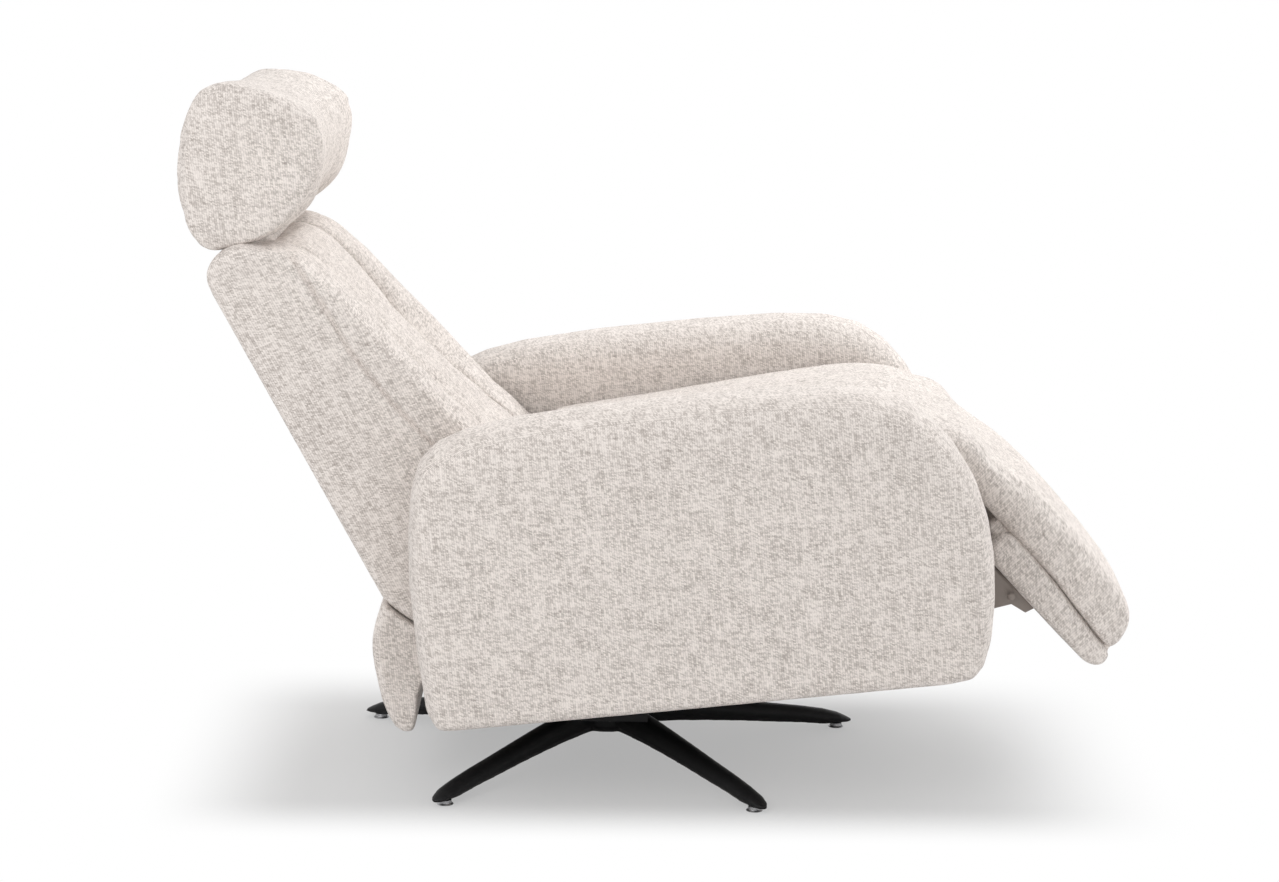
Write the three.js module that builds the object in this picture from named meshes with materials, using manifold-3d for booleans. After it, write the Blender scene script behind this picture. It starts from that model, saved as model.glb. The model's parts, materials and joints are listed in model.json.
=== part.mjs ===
// Star base swivel recliner with slab arms, a wedge headrest and a footrest that swings out of the seat.
// The chair is shown part reclined. Millimetres, +Z up. The sitter faces -Y, and the right arm is at -X.
// In the upper body a point is given as (forward, up) from the tilt axle, in the untilted body's own lines.
import * as THREE from 'three';
import { mergeVertices } from 'three/addons/utils/BufferGeometryUtils.js';
import Module from 'manifold-3d';

const wasm = await Module();
wasm.setup();

// Driving sizes of the whole chair
const glideCircleRadius = 350;
const tiltAxleHeight = 150;
const bodyTiltDegrees = 6.3;
const bodyHalfWidth = 388;
const armLength = 755;
const armHeight = 402;
const armRear = -238;
const armLow = -4;
const sidePlateOuter = 243;
const sidePlateThickness = 5;
const backHalfWidth = 232;
const backHeight = 452;
const headrestHalfWidth = 222;
const footrestLength = 334;
const seatHalfWidth = 240;
const clearance = 0.3;
const holeSides = 12;
const overrun = 4;

// Pivots of the upper body, forward and up from the tilt axle
const reclineForward = -150;
const reclineUp = 250;
const footrestForward = 480;
const footrestUp = 250;
const backLeanDegrees = 21.6;
const footrestDropDegrees = 52.6;

// The swivel axis stands this far behind the middle of the outline on the floor
const swivelSetback = 67.8;

const sidePlateInner = sidePlateOuter - sidePlateThickness;
const radians = THREE.MathUtils.degToRad;
const sides = [
  { name: 'right', sign: -1 },
  { name: 'left', sign: 1 },
];

const finish = (color, roughness, metalness) => new THREE.MeshStandardMaterial({ color, roughness, metalness });
const fabric = finish(0xd9d0c8, 0.95, 0);
const lining = finish(0x2a2827, 0.95, 0);
const blackCoat = finish(0x141414, 0.45, 0.3);
const greySteel = finish(0x8b837b, 0.5, 0.6);
const brightSteel = finish(0xb9b9bb, 0.3, 0.9);
const nylon = finish(0x303030, 0.6, 0);
const springSteel = finish(0x6a6c70, 0.4, 0.8);

const recliner = new THREE.Group();
recliner.position.y = swivelSetback;

// The floor group turns with nothing; the swivel group is the turntable; the body group is tilted back on it
const floorGroup = new THREE.Group();
const swivelGroup = new THREE.Group();
const bodyGroup = new THREE.Group();
bodyGroup.position.z = tiltAxleHeight;
bodyGroup.rotation.x = radians(-bodyTiltDegrees);
recliner.add(floorGroup, swivelGroup, bodyGroup);

// The back's own frame: origin on the recline pins, forward square to its rear face, up along that face
const backGroup = new THREE.Group();
backGroup.position.set(0, -reclineForward, reclineUp);
backGroup.rotation.x = radians(-backLeanDegrees);
bodyGroup.add(backGroup);

// The footrest's own frame: origin on its hinge, forward along the board to its tip, up square to it
const footrestGroup = new THREE.Group();
footrestGroup.position.set(0, -footrestForward, footrestUp);
footrestGroup.rotation.x = radians(footrestDropDegrees);
bodyGroup.add(footrestGroup);

function addPiece(group, name, geometry, material) {
  const mesh = new THREE.Mesh(geometry, material);
  mesh.name = name;
  group.add(mesh);
  return mesh;
}

// Outline coordinates (forward, up, across from left to right) lie along -Y, +Z and -X
const acrossChair = new THREE.Matrix4().makeBasis(
  new THREE.Vector3(0, -1, 0),
  new THREE.Vector3(0, 0, 1),
  new THREE.Vector3(-1, 0, 0),
);

function signedVolume(positions, index) {
  const corner = [new THREE.Vector3(), new THREE.Vector3(), new THREE.Vector3()];
  let volume = 0;
  for (let face = 0; face < index.length; face += 3) {
    corner.forEach((point, place) => point.fromArray(positions, index[face + place] * 3));
    volume += corner[0].dot(corner[1].cross(corner[2])) / 6;
  }
  return volume;
}

// Turns a closed geometry's faces outwards, whichever way its profile ran
function facingOut(geometry) {
  const index = Array.from(geometry.index.array);
  if (signedVolume(geometry.attributes.position.array, index) < 0) geometry.setIndex(index.reverse());
  return geometry;
}

// A flat plate with the outline of a shape, standing along the chair, with its middle at x
function plate(shape, x, thickness, curveSegments = 6) {
  const geometry = new THREE.ExtrudeGeometry(shape, { depth: thickness, bevelEnabled: false, curveSegments });
  geometry.translate(0, 0, -thickness / 2);
  geometry.applyMatrix4(acrossChair);
  geometry.translate(x, 0, 0);
  return geometry;
}

// The outline round two circles, as of a strap with an eye at each end
function strapShape(from, fromRadius, to, toRadius) {
  const line = new THREE.Vector2().subVectors(to, from);
  const spread = Math.acos((fromRadius - toRadius) / line.length());
  const turn = line.angle();
  const shape = new THREE.Shape();
  shape.absarc(from.x, from.y, fromRadius, turn + spread, turn + 2 * Math.PI - spread, false);
  shape.absarc(to.x, to.y, toRadius, turn - spread, turn + spread, false);
  return shape;
}

// A round hole drawn as a polygon round its circle, so a shaft of the same count of sides never touches it
function roundHole(forward, up, radius) {
  const step = (2 * Math.PI) / holeSides;
  const corner = radius / Math.cos(step / 2);
  const corners = Array.from({ length: holeSides }, (_, place) => new THREE.Vector2(
    forward + corner * Math.cos(place * step),
    up - corner * Math.sin(place * step),
  ));
  return new THREE.Path(corners);
}

// A turned piece with its axis across the chair; the profile is pairs of radius and x
function turnedAcross(profile, forward, up, segments = 12) {
  const points = profile.map(([radius, x]) => new THREE.Vector2(radius, x));
  const geometry = new THREE.LatheGeometry(points, segments);
  geometry.rotateZ(-Math.PI / 2);
  geometry.translate(0, -forward, up);
  return facingOut(geometry);
}

// A turned piece with its axis upright; the profile is pairs of radius and height
function turnedUpright(profile, segments = 32) {
  const points = profile.map(([radius, height]) => new THREE.Vector2(radius, height));
  const geometry = new THREE.LatheGeometry(points, segments);
  geometry.rotateX(Math.PI / 2);
  return facingOut(geometry);
}

function block(width, length, height, x, forward, up) {
  const geometry = new THREE.BoxGeometry(width, length, height);
  geometry.translate(x, -forward, up);
  return geometry;
}

// A geometry's merged triangles, turned to face out, as a solid for joining and cutting
function solid(geometry) {
  const bare = geometry.clone();
  bare.deleteAttribute('normal');
  bare.deleteAttribute('uv');
  const merged = mergeVertices(bare);
  const positions = new Float32Array(merged.attributes.position.array);
  const index = Array.from(merged.index.array);
  if (signedVolume(positions, index) < 0) index.reverse();
  const triVerts = new Uint32Array(index);
  return new wasm.Manifold(new wasm.Mesh({ numProp: 3, vertProperties: positions, triVerts }));
}

function geometryOf(body) {
  const mesh = body.getMesh();
  const geometry = new THREE.BufferGeometry();
  geometry.setAttribute('position', new THREE.BufferAttribute(mesh.vertProperties, 3));
  geometry.setIndex(new THREE.BufferAttribute(mesh.triVerts, 1));
  return geometry;
}

function joined(geometries) {
  return geometryOf(geometries.map(solid).reduce((whole, piece) => whole.add(piece)));
}

function cut(geometry, tools) {
  return geometryOf(tools.map(solid).reduce((whole, tool) => whole.subtract(tool), solid(geometry)));
}

// Skins a row of closed rings of (forward, up) points and closes both ends
function skin(rings, place) {
  const count = rings[0].length;
  const positions = [];
  const index = [];
  rings.forEach((ring, row) => ring.forEach((point) => positions.push(...place(point, row).toArray())));
  for (let row = 0; row < rings.length - 1; row += 1) {
    for (let column = 0; column < count; column += 1) {
      const near = row * count + column;
      const nearNext = row * count + ((column + 1) % count);
      index.push(near, nearNext, nearNext + count);
      index.push(near, nearNext + count, near + count);
    }
  }
  const lastStart = (rings.length - 1) * count;
  for (const [a, b, c] of THREE.ShapeUtils.triangulateShape(rings[0], [])) index.push(c, b, a);
  for (const [a, b, c] of THREE.ShapeUtils.triangulateShape(rings[rings.length - 1], [])) {
    index.push(lastStart + a, lastStart + b, lastStart + c);
  }
  if (signedVolume(positions, index) < 0) index.reverse();
  const geometry = new THREE.BufferGeometry();
  geometry.setAttribute('position', new THREE.Float32BufferAttribute(positions, 3));
  geometry.setIndex(index);
  return geometry;
}

// A closed smooth outline through points given as shares of a box of (rear, low) to (front, high)
function outline(shares, box, stepsPerPoint) {
  const corners = shares.map(([along, up]) => new THREE.Vector3(
    THREE.MathUtils.lerp(box.rear, box.front, along),
    THREE.MathUtils.lerp(box.low, box.high, up),
    0,
  ));
  const curve = new THREE.CatmullRomCurve3(corners, true, 'centripetal');
  const points = curve.getPoints(corners.length * stepsPerPoint);
  points.pop();
  return points.map((point) => new THREE.Vector2(point.x, point.y));
}

// Outward normals of an outline that runs anticlockwise
function outlineNormals(points) {
  return points.map((point, place) => {
    const before = points[(place + points.length - 1) % points.length];
    const after = points[(place + 1) % points.length];
    return new THREE.Vector2(after.y - before.y, before.x - after.x).normalize();
  });
}

// A padded piece with a side outline and a width. Its long edges are rounded: the outline is drawn in by an
// amount that depends on which way it faces, over a depth of roundDepth. The crown swells one face in the middle.
// Where a piece runs out thin, ease tells which share of both is left.
function padded(points, middle, halfWidth, shape) {
  const normals = outlineNormals(points);
  const { roundDepth, edges, crown, crownFace, rounds = 4, waists = 4, drawIn = 0, ease = () => 1 } = shape;
  const rear = Math.min(...points.map((point) => point.x));
  const front = Math.max(...points.map((point) => point.x));
  const edgeOf = (normal) => (
    normal.x ** 2 * (normal.x > 0 ? edges.front : edges.rear)
    + normal.y ** 2 * (normal.y > 0 ? edges.top : edges.low)
  );
  const flat = halfWidth - roundDepth;
  const stations = [];
  for (let turn = 0; turn <= rounds; turn += 1) {
    const angle = ((rounds - turn) / rounds) * (Math.PI / 2);
    stations.push({ x: -flat - roundDepth * Math.sin(angle), inset: 1 - Math.cos(angle) });
  }
  for (let waist = 1; waist < waists; waist += 1) {
    stations.push({ x: -flat + (2 * flat * waist) / waists, inset: 0 });
  }
  for (let turn = 0; turn <= rounds; turn += 1) {
    const angle = (turn / rounds) * (Math.PI / 2);
    stations.push({ x: flat + roundDepth * Math.sin(angle), inset: 1 - Math.cos(angle) });
  }
  const rings = stations.map(({ x, inset }) => points.map((point, place) => {
    const normal = normals[place];
    const facing = Math.max(0, normal.x * crownFace[0] + normal.y * crownFace[1]);
    const swell = crown * facing ** 2 * (1 - (x / halfWidth) ** 2);
    return point.clone().addScaledVector(normal, ease(point) * (swell - inset * edgeOf(normal)));
  }));
  const place = (point, row) => {
    const along = (point.x - rear) / (front - rear);
    const drawn = 1 - (drawIn / halfWidth) * 4 * along * (1 - along);
    return new THREE.Vector3(middle + stations[row].x * drawn, -point.x, point.y);
  };
  return skin(rings, place);
}

// Star base: one casting of a hub and five tapering legs, standing on five glides
const legCount = 5;
const starTurnDegrees = -1.6;
const legReach = 373;
const legHubHalfWidth = 23;
const legHubTop = 72;
const glideRadius = 13.5;
const glideHeight = 6;
const glideRim = 1.4;
const hubRadius = 58;
const hubTop = 76;
const hubLow = 30;
const hubWaistRadius = 44;
const hubEdge = 5;
const postRadius = 20;
const postFoot = 40;
const boltRadius = 5;

// Each row is a leg station: shares of the reach, and of the hub end's half width, top (for the top and the keel)
const legStationShares = [
  [0.05, 1, 1, 0.43],
  [0.16, 0.93, 0.97, 0.425],
  [0.27, 0.84, 0.9, 0.405],
  [0.4, 0.76, 0.805, 0.355],
  [0.54, 0.7, 0.69, 0.29],
  [0.68, 0.65, 0.57, 0.21],
  [0.79, 0.62, 0.48, 0.155],
  [0.885, 0.6, 0.385, 0.0875],
  [0.945, 0.585, 0.29, 0.0875],
  [0.98, 0.44, 0.2, 0.0875],
  [1, 0.18, 0.14, 0.1],
];
// The leg's section, as shares of its half width and of its height above the keel
const legSectionShares = [
  [-0.5, 0],
  [0.5, 0],
  [0.95, 0.32],
  [1, 0.6],
  [0.72, 0.87],
  [0.3, 1],
  [-0.3, 1],
  [-0.72, 0.87],
  [-1, 0.6],
  [-0.95, 0.32],
];

function starLeg() {
  const rings = legStationShares.map(([, width, top, keel]) => legSectionShares.map(([across, up]) => (
    new THREE.Vector2(
      across * width * legHubHalfWidth,
      THREE.MathUtils.lerp(keel, top, up) * legHubTop,
    )
  )));
  const place = (point, row) => new THREE.Vector3(legStationShares[row][0] * legReach, point.x, point.y);
  return skin(rings, place);
}

const hub = turnedUpright([
  [0, hubLow],
  [hubWaistRadius, hubLow],
  [hubRadius - hubEdge, hubLow + hubEdge],
  [hubRadius, hubLow + 2 * hubEdge],
  [hubRadius, hubTop - hubEdge],
  [hubRadius - hubEdge, hubTop],
  [0, hubTop],
], 35);
const postBore = turnedUpright([
  [0, postFoot],
  [postRadius + clearance, postFoot],
  [postRadius + clearance, hubTop + overrun],
  [0, hubTop + overrun],
]);
const boltBore = turnedUpright([
  [0, hubLow - overrun],
  [boltRadius + clearance, hubLow - overrun],
  [boltRadius + clearance, postFoot + overrun],
  [0, postFoot + overrun],
], 16);
const starPieces = [hub];
for (let leg = 0; leg < legCount; leg += 1) {
  starPieces.push(starLeg().rotateZ((leg / legCount) * 2 * Math.PI));
}
const starBase = addPiece(floorGroup, 'star_base', cut(joined(starPieces), [postBore, boltBore]), blackCoat);
starBase.rotation.z = radians(starTurnDegrees);

for (let leg = 0; leg < legCount; leg += 1) {
  const angle = (leg / legCount) * 2 * Math.PI + radians(starTurnDegrees);
  const glide = turnedUpright([
    [0, 0],
    [glideRadius - glideRim, 0],
    [glideRadius, glideRim],
    [glideRadius, glideHeight - glideRim],
    [glideRadius - glideRim, glideHeight],
    [0, glideHeight],
  ], 18);
  const mesh = addPiece(floorGroup, `glide_${leg + 1}`, glide, brightSteel);
  mesh.position.set(glideCircleRadius * Math.cos(angle), glideCircleRadius * Math.sin(angle), 0);
}

// Swivel post with its bolt from below, a thrust washer and a nut; the housing of the beam turns on it
const postFlangeRadius = 44;
const postFlangeHeight = 9;
const journalRadius = 15;
const washerHeight = 3;
const housingHeight = 28;
const housingRadius = 47;
const beamThickness = 8;
const nutHeight = 9;
const nutRadius = 23;
const boltHeadRadius = 12;
const boltHeadHeight = 9;
const boltReach = 18;
const flangeTop = hubTop + clearance + postFlangeHeight;
const washerTop = flangeTop + clearance + washerHeight;
const housingLow = washerTop + clearance;
const housingTop = housingLow + housingHeight;
const beamLow = housingTop + clearance;
const beamTop = beamLow + beamThickness;
const nutLow = beamTop + clearance;
const journalTop = nutLow + nutHeight + clearance;

addPiece(floorGroup, 'swivel_post', cut(turnedUpright([
  [0, postFoot + clearance],
  [postRadius, postFoot + clearance],
  [postRadius, hubTop + clearance],
  [postFlangeRadius, hubTop + clearance],
  [postFlangeRadius, flangeTop],
  [journalRadius, flangeTop],
  [journalRadius, journalTop],
  [0, journalTop],
]), [turnedUpright([
  [0, postFoot - overrun],
  [boltRadius + clearance, postFoot - overrun],
  [boltRadius + clearance, postFoot + boltReach + overrun],
  [0, postFoot + boltReach + overrun],
], 16)]), greySteel);
addPiece(floorGroup, 'post_bolt', turnedUpright([
  [0, hubLow - clearance - boltHeadHeight],
  [boltHeadRadius, hubLow - clearance - boltHeadHeight],
  [boltHeadRadius, hubLow - clearance],
  [boltRadius, hubLow - clearance],
  [boltRadius, postFoot + boltReach],
  [0, postFoot + boltReach],
], 6), blackCoat);

// A ring with its axis upright, closed on itself
function uprightRing(inner, outer, low, high, segments = 32) {
  return turnedUpright([[inner, low], [outer, low], [outer, high], [inner, high], [inner, low]], segments);
}
const journalBore = journalRadius + clearance;
addPiece(floorGroup, 'thrust_washer', uprightRing(
  journalBore,
  postFlangeRadius,
  flangeTop + clearance,
  washerTop,
), nylon);
addPiece(floorGroup, 'post_nut', uprightRing(
  journalBore,
  nutRadius,
  nutLow,
  nutLow + nutHeight,
  24,
), greySteel);
addPiece(swivelGroup, 'swivel_housing', uprightRing(
  journalBore,
  housingRadius,
  housingLow,
  housingTop,
), blackCoat);

// Swivel beam: a pressed channel across the chair, with a cheek plate at each end that carries the tilt axle.
// Each cheek rises behind the axle to the rear stud of a drive link.
const cheekInner = 216;
const cheekThickness = 5;
const beamHalfLength = 110 / 2;
const beamFlange = 6;
const beamFlangeDrop = 18;
const tiltPinRadius = 8;
const tiltShoulderRadius = 13;
const linkStudRise = 161.5;
const linkStudRadius = 5;
const linkInner = 224;
const linkThickness = 4;
const cheekTopRadius = 15;
const cheekHoleRadius = 15;
const cheekWaist = 24;

const beamSection = new THREE.Shape();
beamSection.moveTo(-beamHalfLength, beamTop);
beamSection.lineTo(-beamHalfLength, beamLow - beamFlangeDrop);
beamSection.lineTo(-beamHalfLength + beamFlange, beamLow - beamFlangeDrop);
beamSection.lineTo(-beamHalfLength + beamFlange, beamLow);
beamSection.lineTo(beamHalfLength - beamFlange, beamLow);
beamSection.lineTo(beamHalfLength - beamFlange, beamLow - beamFlangeDrop);
beamSection.lineTo(beamHalfLength, beamLow - beamFlangeDrop);
beamSection.lineTo(beamHalfLength, beamTop);
const beamHole = turnedUpright([
  [0, beamLow - overrun],
  [journalBore, beamLow - overrun],
  [journalBore, beamTop + overrun],
  [0, beamTop + overrun],
]);
addPiece(swivelGroup, 'swivel_beam', cut(
  plate(beamSection, 0, 2 * (cheekInner - clearance)),
  [beamHole],
), blackCoat);

const cheekMiddle = cheekInner + cheekThickness / 2;
const studForward = -linkStudRise * Math.sin(radians(bodyTiltDegrees));
const studUp = tiltAxleHeight + linkStudRise * Math.cos(radians(bodyTiltDegrees));
const cheekShape = new THREE.Shape();
cheekShape.moveTo(-beamHalfLength, beamLow - beamFlangeDrop);
cheekShape.lineTo(beamHalfLength, beamLow - beamFlangeDrop);
cheekShape.lineTo(beamHalfLength, beamTop);
cheekShape.quadraticCurveTo(cheekWaist, tiltAxleHeight + cheekWaist, studForward + cheekTopRadius, studUp);
cheekShape.absarc(studForward, studUp, cheekTopRadius, 0, Math.PI, false);
cheekShape.quadraticCurveTo(studForward - cheekWaist, tiltAxleHeight + cheekWaist, -beamHalfLength, beamTop);
cheekShape.holes.push(roundHole(0, tiltAxleHeight, tiltPinRadius + clearance));
cheekShape.holes.push(roundHole(studForward / 2, (tiltAxleHeight + studUp) / 2, cheekHoleRadius));
for (const side of sides) {
  const stud = turnedAcross([
    [0, side.sign * cheekMiddle],
    [2 * linkStudRadius, side.sign * cheekMiddle],
    [2 * linkStudRadius, side.sign * (linkInner - clearance)],
    [linkStudRadius, side.sign * (linkInner - clearance)],
    [linkStudRadius, side.sign * (linkInner + linkThickness + clearance)],
    [0, side.sign * (linkInner + linkThickness + clearance)],
  ], studForward, studUp);
  const cheek = plate(cheekShape, side.sign * cheekMiddle, cheekThickness);
  addPiece(swivelGroup, `swivel_cheek_${side.name}`, joined([cheek, stud]), blackCoat);
}

// Side plates of the body: each carries the tilt, recline and footrest pins and all the cross members
const pivotPinRadius = 6;
const pivotHubRadius = 17;
const plateTailRear = -236;
const plateTailTop = 62;
const plateTailLow = 34;
const plateLow = -8;
const plateBelly = -22;
const plateHoleRadius = 34;
const frontTubeForward = 300;
const frontTubeUp = 96;
const rearTubeForward = -120;
const rearTubeUp = 40;
const crossTubeRadius = 15;
const tubeWall = 2.5;
const springRailRadius = 11;
const springRailUp = 190;
const frontRailForward = 426;
const rearRailForward = -42;

const sidePlateShape = new THREE.Shape();
sidePlateShape.moveTo(plateTailRear, plateTailLow);
sidePlateShape.lineTo(rearTubeForward, plateLow);
sidePlateShape.quadraticCurveTo(0, 2 * plateBelly, -rearTubeForward, plateLow);
sidePlateShape.lineTo(frontTubeForward + crossTubeRadius, frontTubeUp - 2 * crossTubeRadius);
sidePlateShape.lineTo(footrestForward - pivotHubRadius, springRailUp - 2 * springRailRadius);
sidePlateShape.lineTo(footrestForward + pivotHubRadius, footrestUp);
sidePlateShape.absarc(footrestForward, footrestUp, pivotHubRadius, 0, Math.PI / 2, false);
sidePlateShape.lineTo(frontRailForward, springRailUp + 3 * springRailRadius);
sidePlateShape.lineTo(-rearTubeForward, springRailUp + 2 * springRailRadius);
sidePlateShape.lineTo(rearRailForward, springRailUp + 2 * springRailRadius);
sidePlateShape.lineTo(reclineForward + 2 * pivotHubRadius, reclineUp);
sidePlateShape.lineTo(reclineForward, reclineUp + pivotHubRadius);
sidePlateShape.absarc(reclineForward, reclineUp, pivotHubRadius, Math.PI / 2, Math.PI, false);
sidePlateShape.lineTo(plateTailRear / 2 + rearTubeForward / 2, 2 * plateTailTop);
sidePlateShape.lineTo(plateTailRear, plateTailTop);
const frontHoleForward = (frontTubeForward + -rearTubeForward) / 2;
sidePlateShape.holes.push(roundHole(rearTubeForward / 2, 2 * plateTailTop, plateHoleRadius));
sidePlateShape.holes.push(roundHole(-rearTubeForward, 2 * plateTailTop, plateHoleRadius));
sidePlateShape.holes.push(roundHole(frontHoleForward, 2 * plateTailTop, plateHoleRadius));
sidePlateShape.holes.push(roundHole(0, 0, tiltPinRadius + clearance));
sidePlateShape.holes.push(roundHole(reclineForward, reclineUp, pivotPinRadius + clearance));
sidePlateShape.holes.push(roundHole(footrestForward, footrestUp, pivotPinRadius + clearance));

// A shouldered pin from inside the chair out to the side plate
function shoulderedPin(sign, radius, shoulder, inner, shoulderInner) {
  return turnedAcross([
    [0, sign * inner],
    [radius, sign * inner],
    [radius, sign * shoulderInner],
    [shoulder, sign * shoulderInner],
    [shoulder, sign * (sidePlateInner - clearance)],
    [radius, sign * (sidePlateInner - clearance)],
    [radius, sign * sidePlateOuter],
    [0, sign * sidePlateOuter],
  ], 0, 0);
}
const shoulderRadius = 10;
const footrestShoulderRadius = 8;
const bracketInner = 216;
const bracketThickness = 4;
const hingePlateInner = 211;
for (const side of sides) {
  const middle = side.sign * (sidePlateInner + sidePlateThickness / 2);
  addPiece(bodyGroup, `side_plate_${side.name}`, plate(sidePlateShape, middle, sidePlateThickness), greySteel);
  addPiece(bodyGroup, `tilt_pin_${side.name}`, shoulderedPin(
    side.sign,
    tiltPinRadius,
    tiltShoulderRadius,
    cheekInner - clearance,
    cheekInner + cheekThickness + clearance,
  ), brightSteel);
  const reclinePin = shoulderedPin(
    side.sign,
    pivotPinRadius,
    shoulderRadius,
    hingePlateInner - clearance,
    backHalfWidth + clearance,
  );
  addPiece(bodyGroup, `recline_pin_${side.name}`, reclinePin, brightSteel)
    .position.set(0, -reclineForward, reclineUp);
  const footrestPin = shoulderedPin(
    side.sign,
    pivotPinRadius,
    footrestShoulderRadius,
    bracketInner - clearance,
    bracketInner + bracketThickness + clearance,
  );
  addPiece(bodyGroup, `footrest_pin_${side.name}`, footrestPin, brightSteel)
    .position.set(0, -footrestForward, footrestUp);
}

// A tube across the chair between two planes of x
function crossTube(forward, up, radius, halfLength, segments = 16) {
  const inner = radius - tubeWall;
  return turnedAcross([
    [inner, -halfLength],
    [radius, -halfLength],
    [radius, halfLength],
    [inner, halfLength],
    [inner, -halfLength],
  ], forward, up, segments);
}
const tubeReach = sidePlateInner - clearance;
addPiece(bodyGroup, 'rear_cross_tube', crossTube(
  rearTubeForward,
  rearTubeUp,
  crossTubeRadius,
  tubeReach,
), greySteel);
addPiece(bodyGroup, 'front_cross_tube', crossTube(
  frontTubeForward,
  frontTubeUp,
  crossTubeRadius,
  tubeReach,
), greySteel);
addPiece(bodyGroup, 'front_spring_rail', crossTube(
  frontRailForward,
  springRailUp,
  springRailRadius,
  tubeReach,
  12,
), greySteel);
addPiece(bodyGroup, 'rear_spring_rail', crossTube(
  rearRailForward,
  springRailUp,
  springRailRadius,
  tubeReach,
  12,
), greySteel);

// Zigzag seat springs, hooked over the two rails and carrying the deck
const springCount = 4;
const springSpacing = 92;
const springWire = 4;
const springHalfWidth = 22;
const springBends = 11;
const springStepsPerBend = 3;
const springLow = springRailUp + springRailRadius + clearance;

function zigzagSpring() {
  const rearEnd = rearRailForward - springRailRadius / 2;
  const frontEnd = frontRailForward + springRailRadius / 2;
  const steps = springBends * springStepsPerBend;
  const middleLine = [];
  for (let step = 0; step <= steps; step += 1) {
    const share = step / steps;
    middleLine.push(new THREE.Vector2(
      Math.sin(share * springBends * Math.PI) * springHalfWidth,
      THREE.MathUtils.lerp(-rearEnd, -frontEnd, share),
    ));
  }
  const edge = (sign) => middleLine.map((point, place) => {
    const before = middleLine[Math.max(place - 1, 0)];
    const after = middleLine[Math.min(place + 1, steps)];
    const across = new THREE.Vector2(before.y - after.y, after.x - before.x).normalize();
    return point.clone().addScaledVector(across, (sign * springWire) / 2);
  });
  const shape = new THREE.Shape([...edge(1), ...edge(-1).reverse()]);
  const geometry = new THREE.ExtrudeGeometry(shape, { depth: springWire, bevelEnabled: false });
  return geometry.translate(0, 0, springLow);
}
for (let spring = 0; spring < springCount; spring += 1) {
  const x = (spring - (springCount - 1) / 2) * springSpacing;
  addPiece(bodyGroup, `seat_spring_${spring + 1}`, zigzagSpring().translate(x, 0, 0), springSteel);
}

// Seat deck: a foam block on the springs, with a round nose about the footrest's hinge and a hollow rear end
// that leaves room for the back's round foot
const noseRadius = 41.5;
const backFootRadius = 90;
const deckHalfWidth = 213;
const deckLow = springLow + springWire + clearance;
const deckTop = footrestUp + 18;
const deckRearRadius = backFootRadius + 2;
const deckShape = new THREE.Shape();
const hollowAngle = (radius, up) => Math.asin((up - reclineUp) / radius);
const noseJoin = Math.asin((deckTop - footrestUp) / noseRadius);
deckShape.absarc(
  reclineForward,
  reclineUp,
  deckRearRadius,
  hollowAngle(deckRearRadius, deckTop),
  hollowAngle(deckRearRadius, deckLow),
  true,
);
deckShape.lineTo(footrestForward, deckLow);
deckShape.absarc(footrestForward, footrestUp, noseRadius, -Math.PI / 2, Math.PI - noseJoin, false);
addPiece(bodyGroup, 'seat_deck', plate(deckShape, 0, 2 * deckHalfWidth, 8), lining);

// Seat cushion: crowned, thicker in front, its front end wrapped over the nose
const cushionRearRadius = 105;
const cushionLow = deckTop + 2 * clearance;
const cushionFront = footrestForward - 2;
const cushionTop = 325;
const seatEdge = 7;
const seatRoundDepth = 30;
const seatCrown = 12;
const seatDrawIn = 5;
const cushionBox = {
  rear: reclineForward + cushionRearRadius,
  front: cushionFront,
  low: cushionLow,
  high: cushionTop,
};
const seatCushionShares = [
  [0, 0],
  [0.02, 0.002],
  [0.3, 0.006],
  [0.6, 0.007],
  [0.9, 0.003],
  [0.927, 0.004],
  [0.938, 0.145],
  [0.955, 0.305],
  [0.971, 0.4],
  [0.983, 0.445],
  [0.99, 0.51],
  [0.985, 0.6],
  [0.966, 0.715],
  [0.937, 0.835],
  [0.899, 0.93],
  [0.82, 1],
  [0.68, 0.97],
  [0.5, 0.86],
  [0.28, 0.7],
  [0.1, 0.6],
  [0.02, 0.54],
  [-0.015, 0.46],
  [-0.012, 0.2],
];
addPiece(bodyGroup, 'seat_cushion', padded(outline(seatCushionShares, cushionBox, 2), 0, seatHalfWidth, {
  roundDepth: seatRoundDepth,
  edges: { top: seatEdge, front: clearance, low: clearance, rear: clearance },
  crown: seatCrown,
  crownFace: [0, 1],
  drawIn: seatDrawIn,
  waists: 4,
}), fabric);

// Arms: thick slabs with a flat sole, a rolled top and a full front, bolted to the side plates
const armRoundDepth = 56;
const armTopEdge = 46;
const armFrontEdge = 40;
const armRearEdge = 26;
const armLowEdge = 16;
const armBox = { rear: armRear, front: armRear + armLength, low: armLow, high: armLow + armHeight };
const armShares = [
  [0.02, 0.008],
  [0.05, 0.001],
  [0.35, 0],
  [0.65, 0.0005],
  [0.9, 0.001],
  [0.945, 0.01],
  [0.968, 0.045],
  [0.985, 0.13],
  [0.996, 0.26],
  [1, 0.4],
  [0.994, 0.53],
  [0.977, 0.66],
  [0.948, 0.77],
  [0.91, 0.865],
  [0.865, 0.93],
  [0.8, 0.972],
  [0.7, 0.993],
  [0.55, 1],
  [0.35, 0.998],
  [0.2, 0.982],
  [0.12, 0.958],
  [0.07, 0.925],
  [0.037, 0.87],
  [0.02, 0.79],
  [0.009, 0.67],
  [0, 0.5],
  [0.001, 0.25],
  [0.005, 0.07],
];
const armHalf = (bodyHalfWidth - sidePlateOuter - clearance) / 2;
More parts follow.
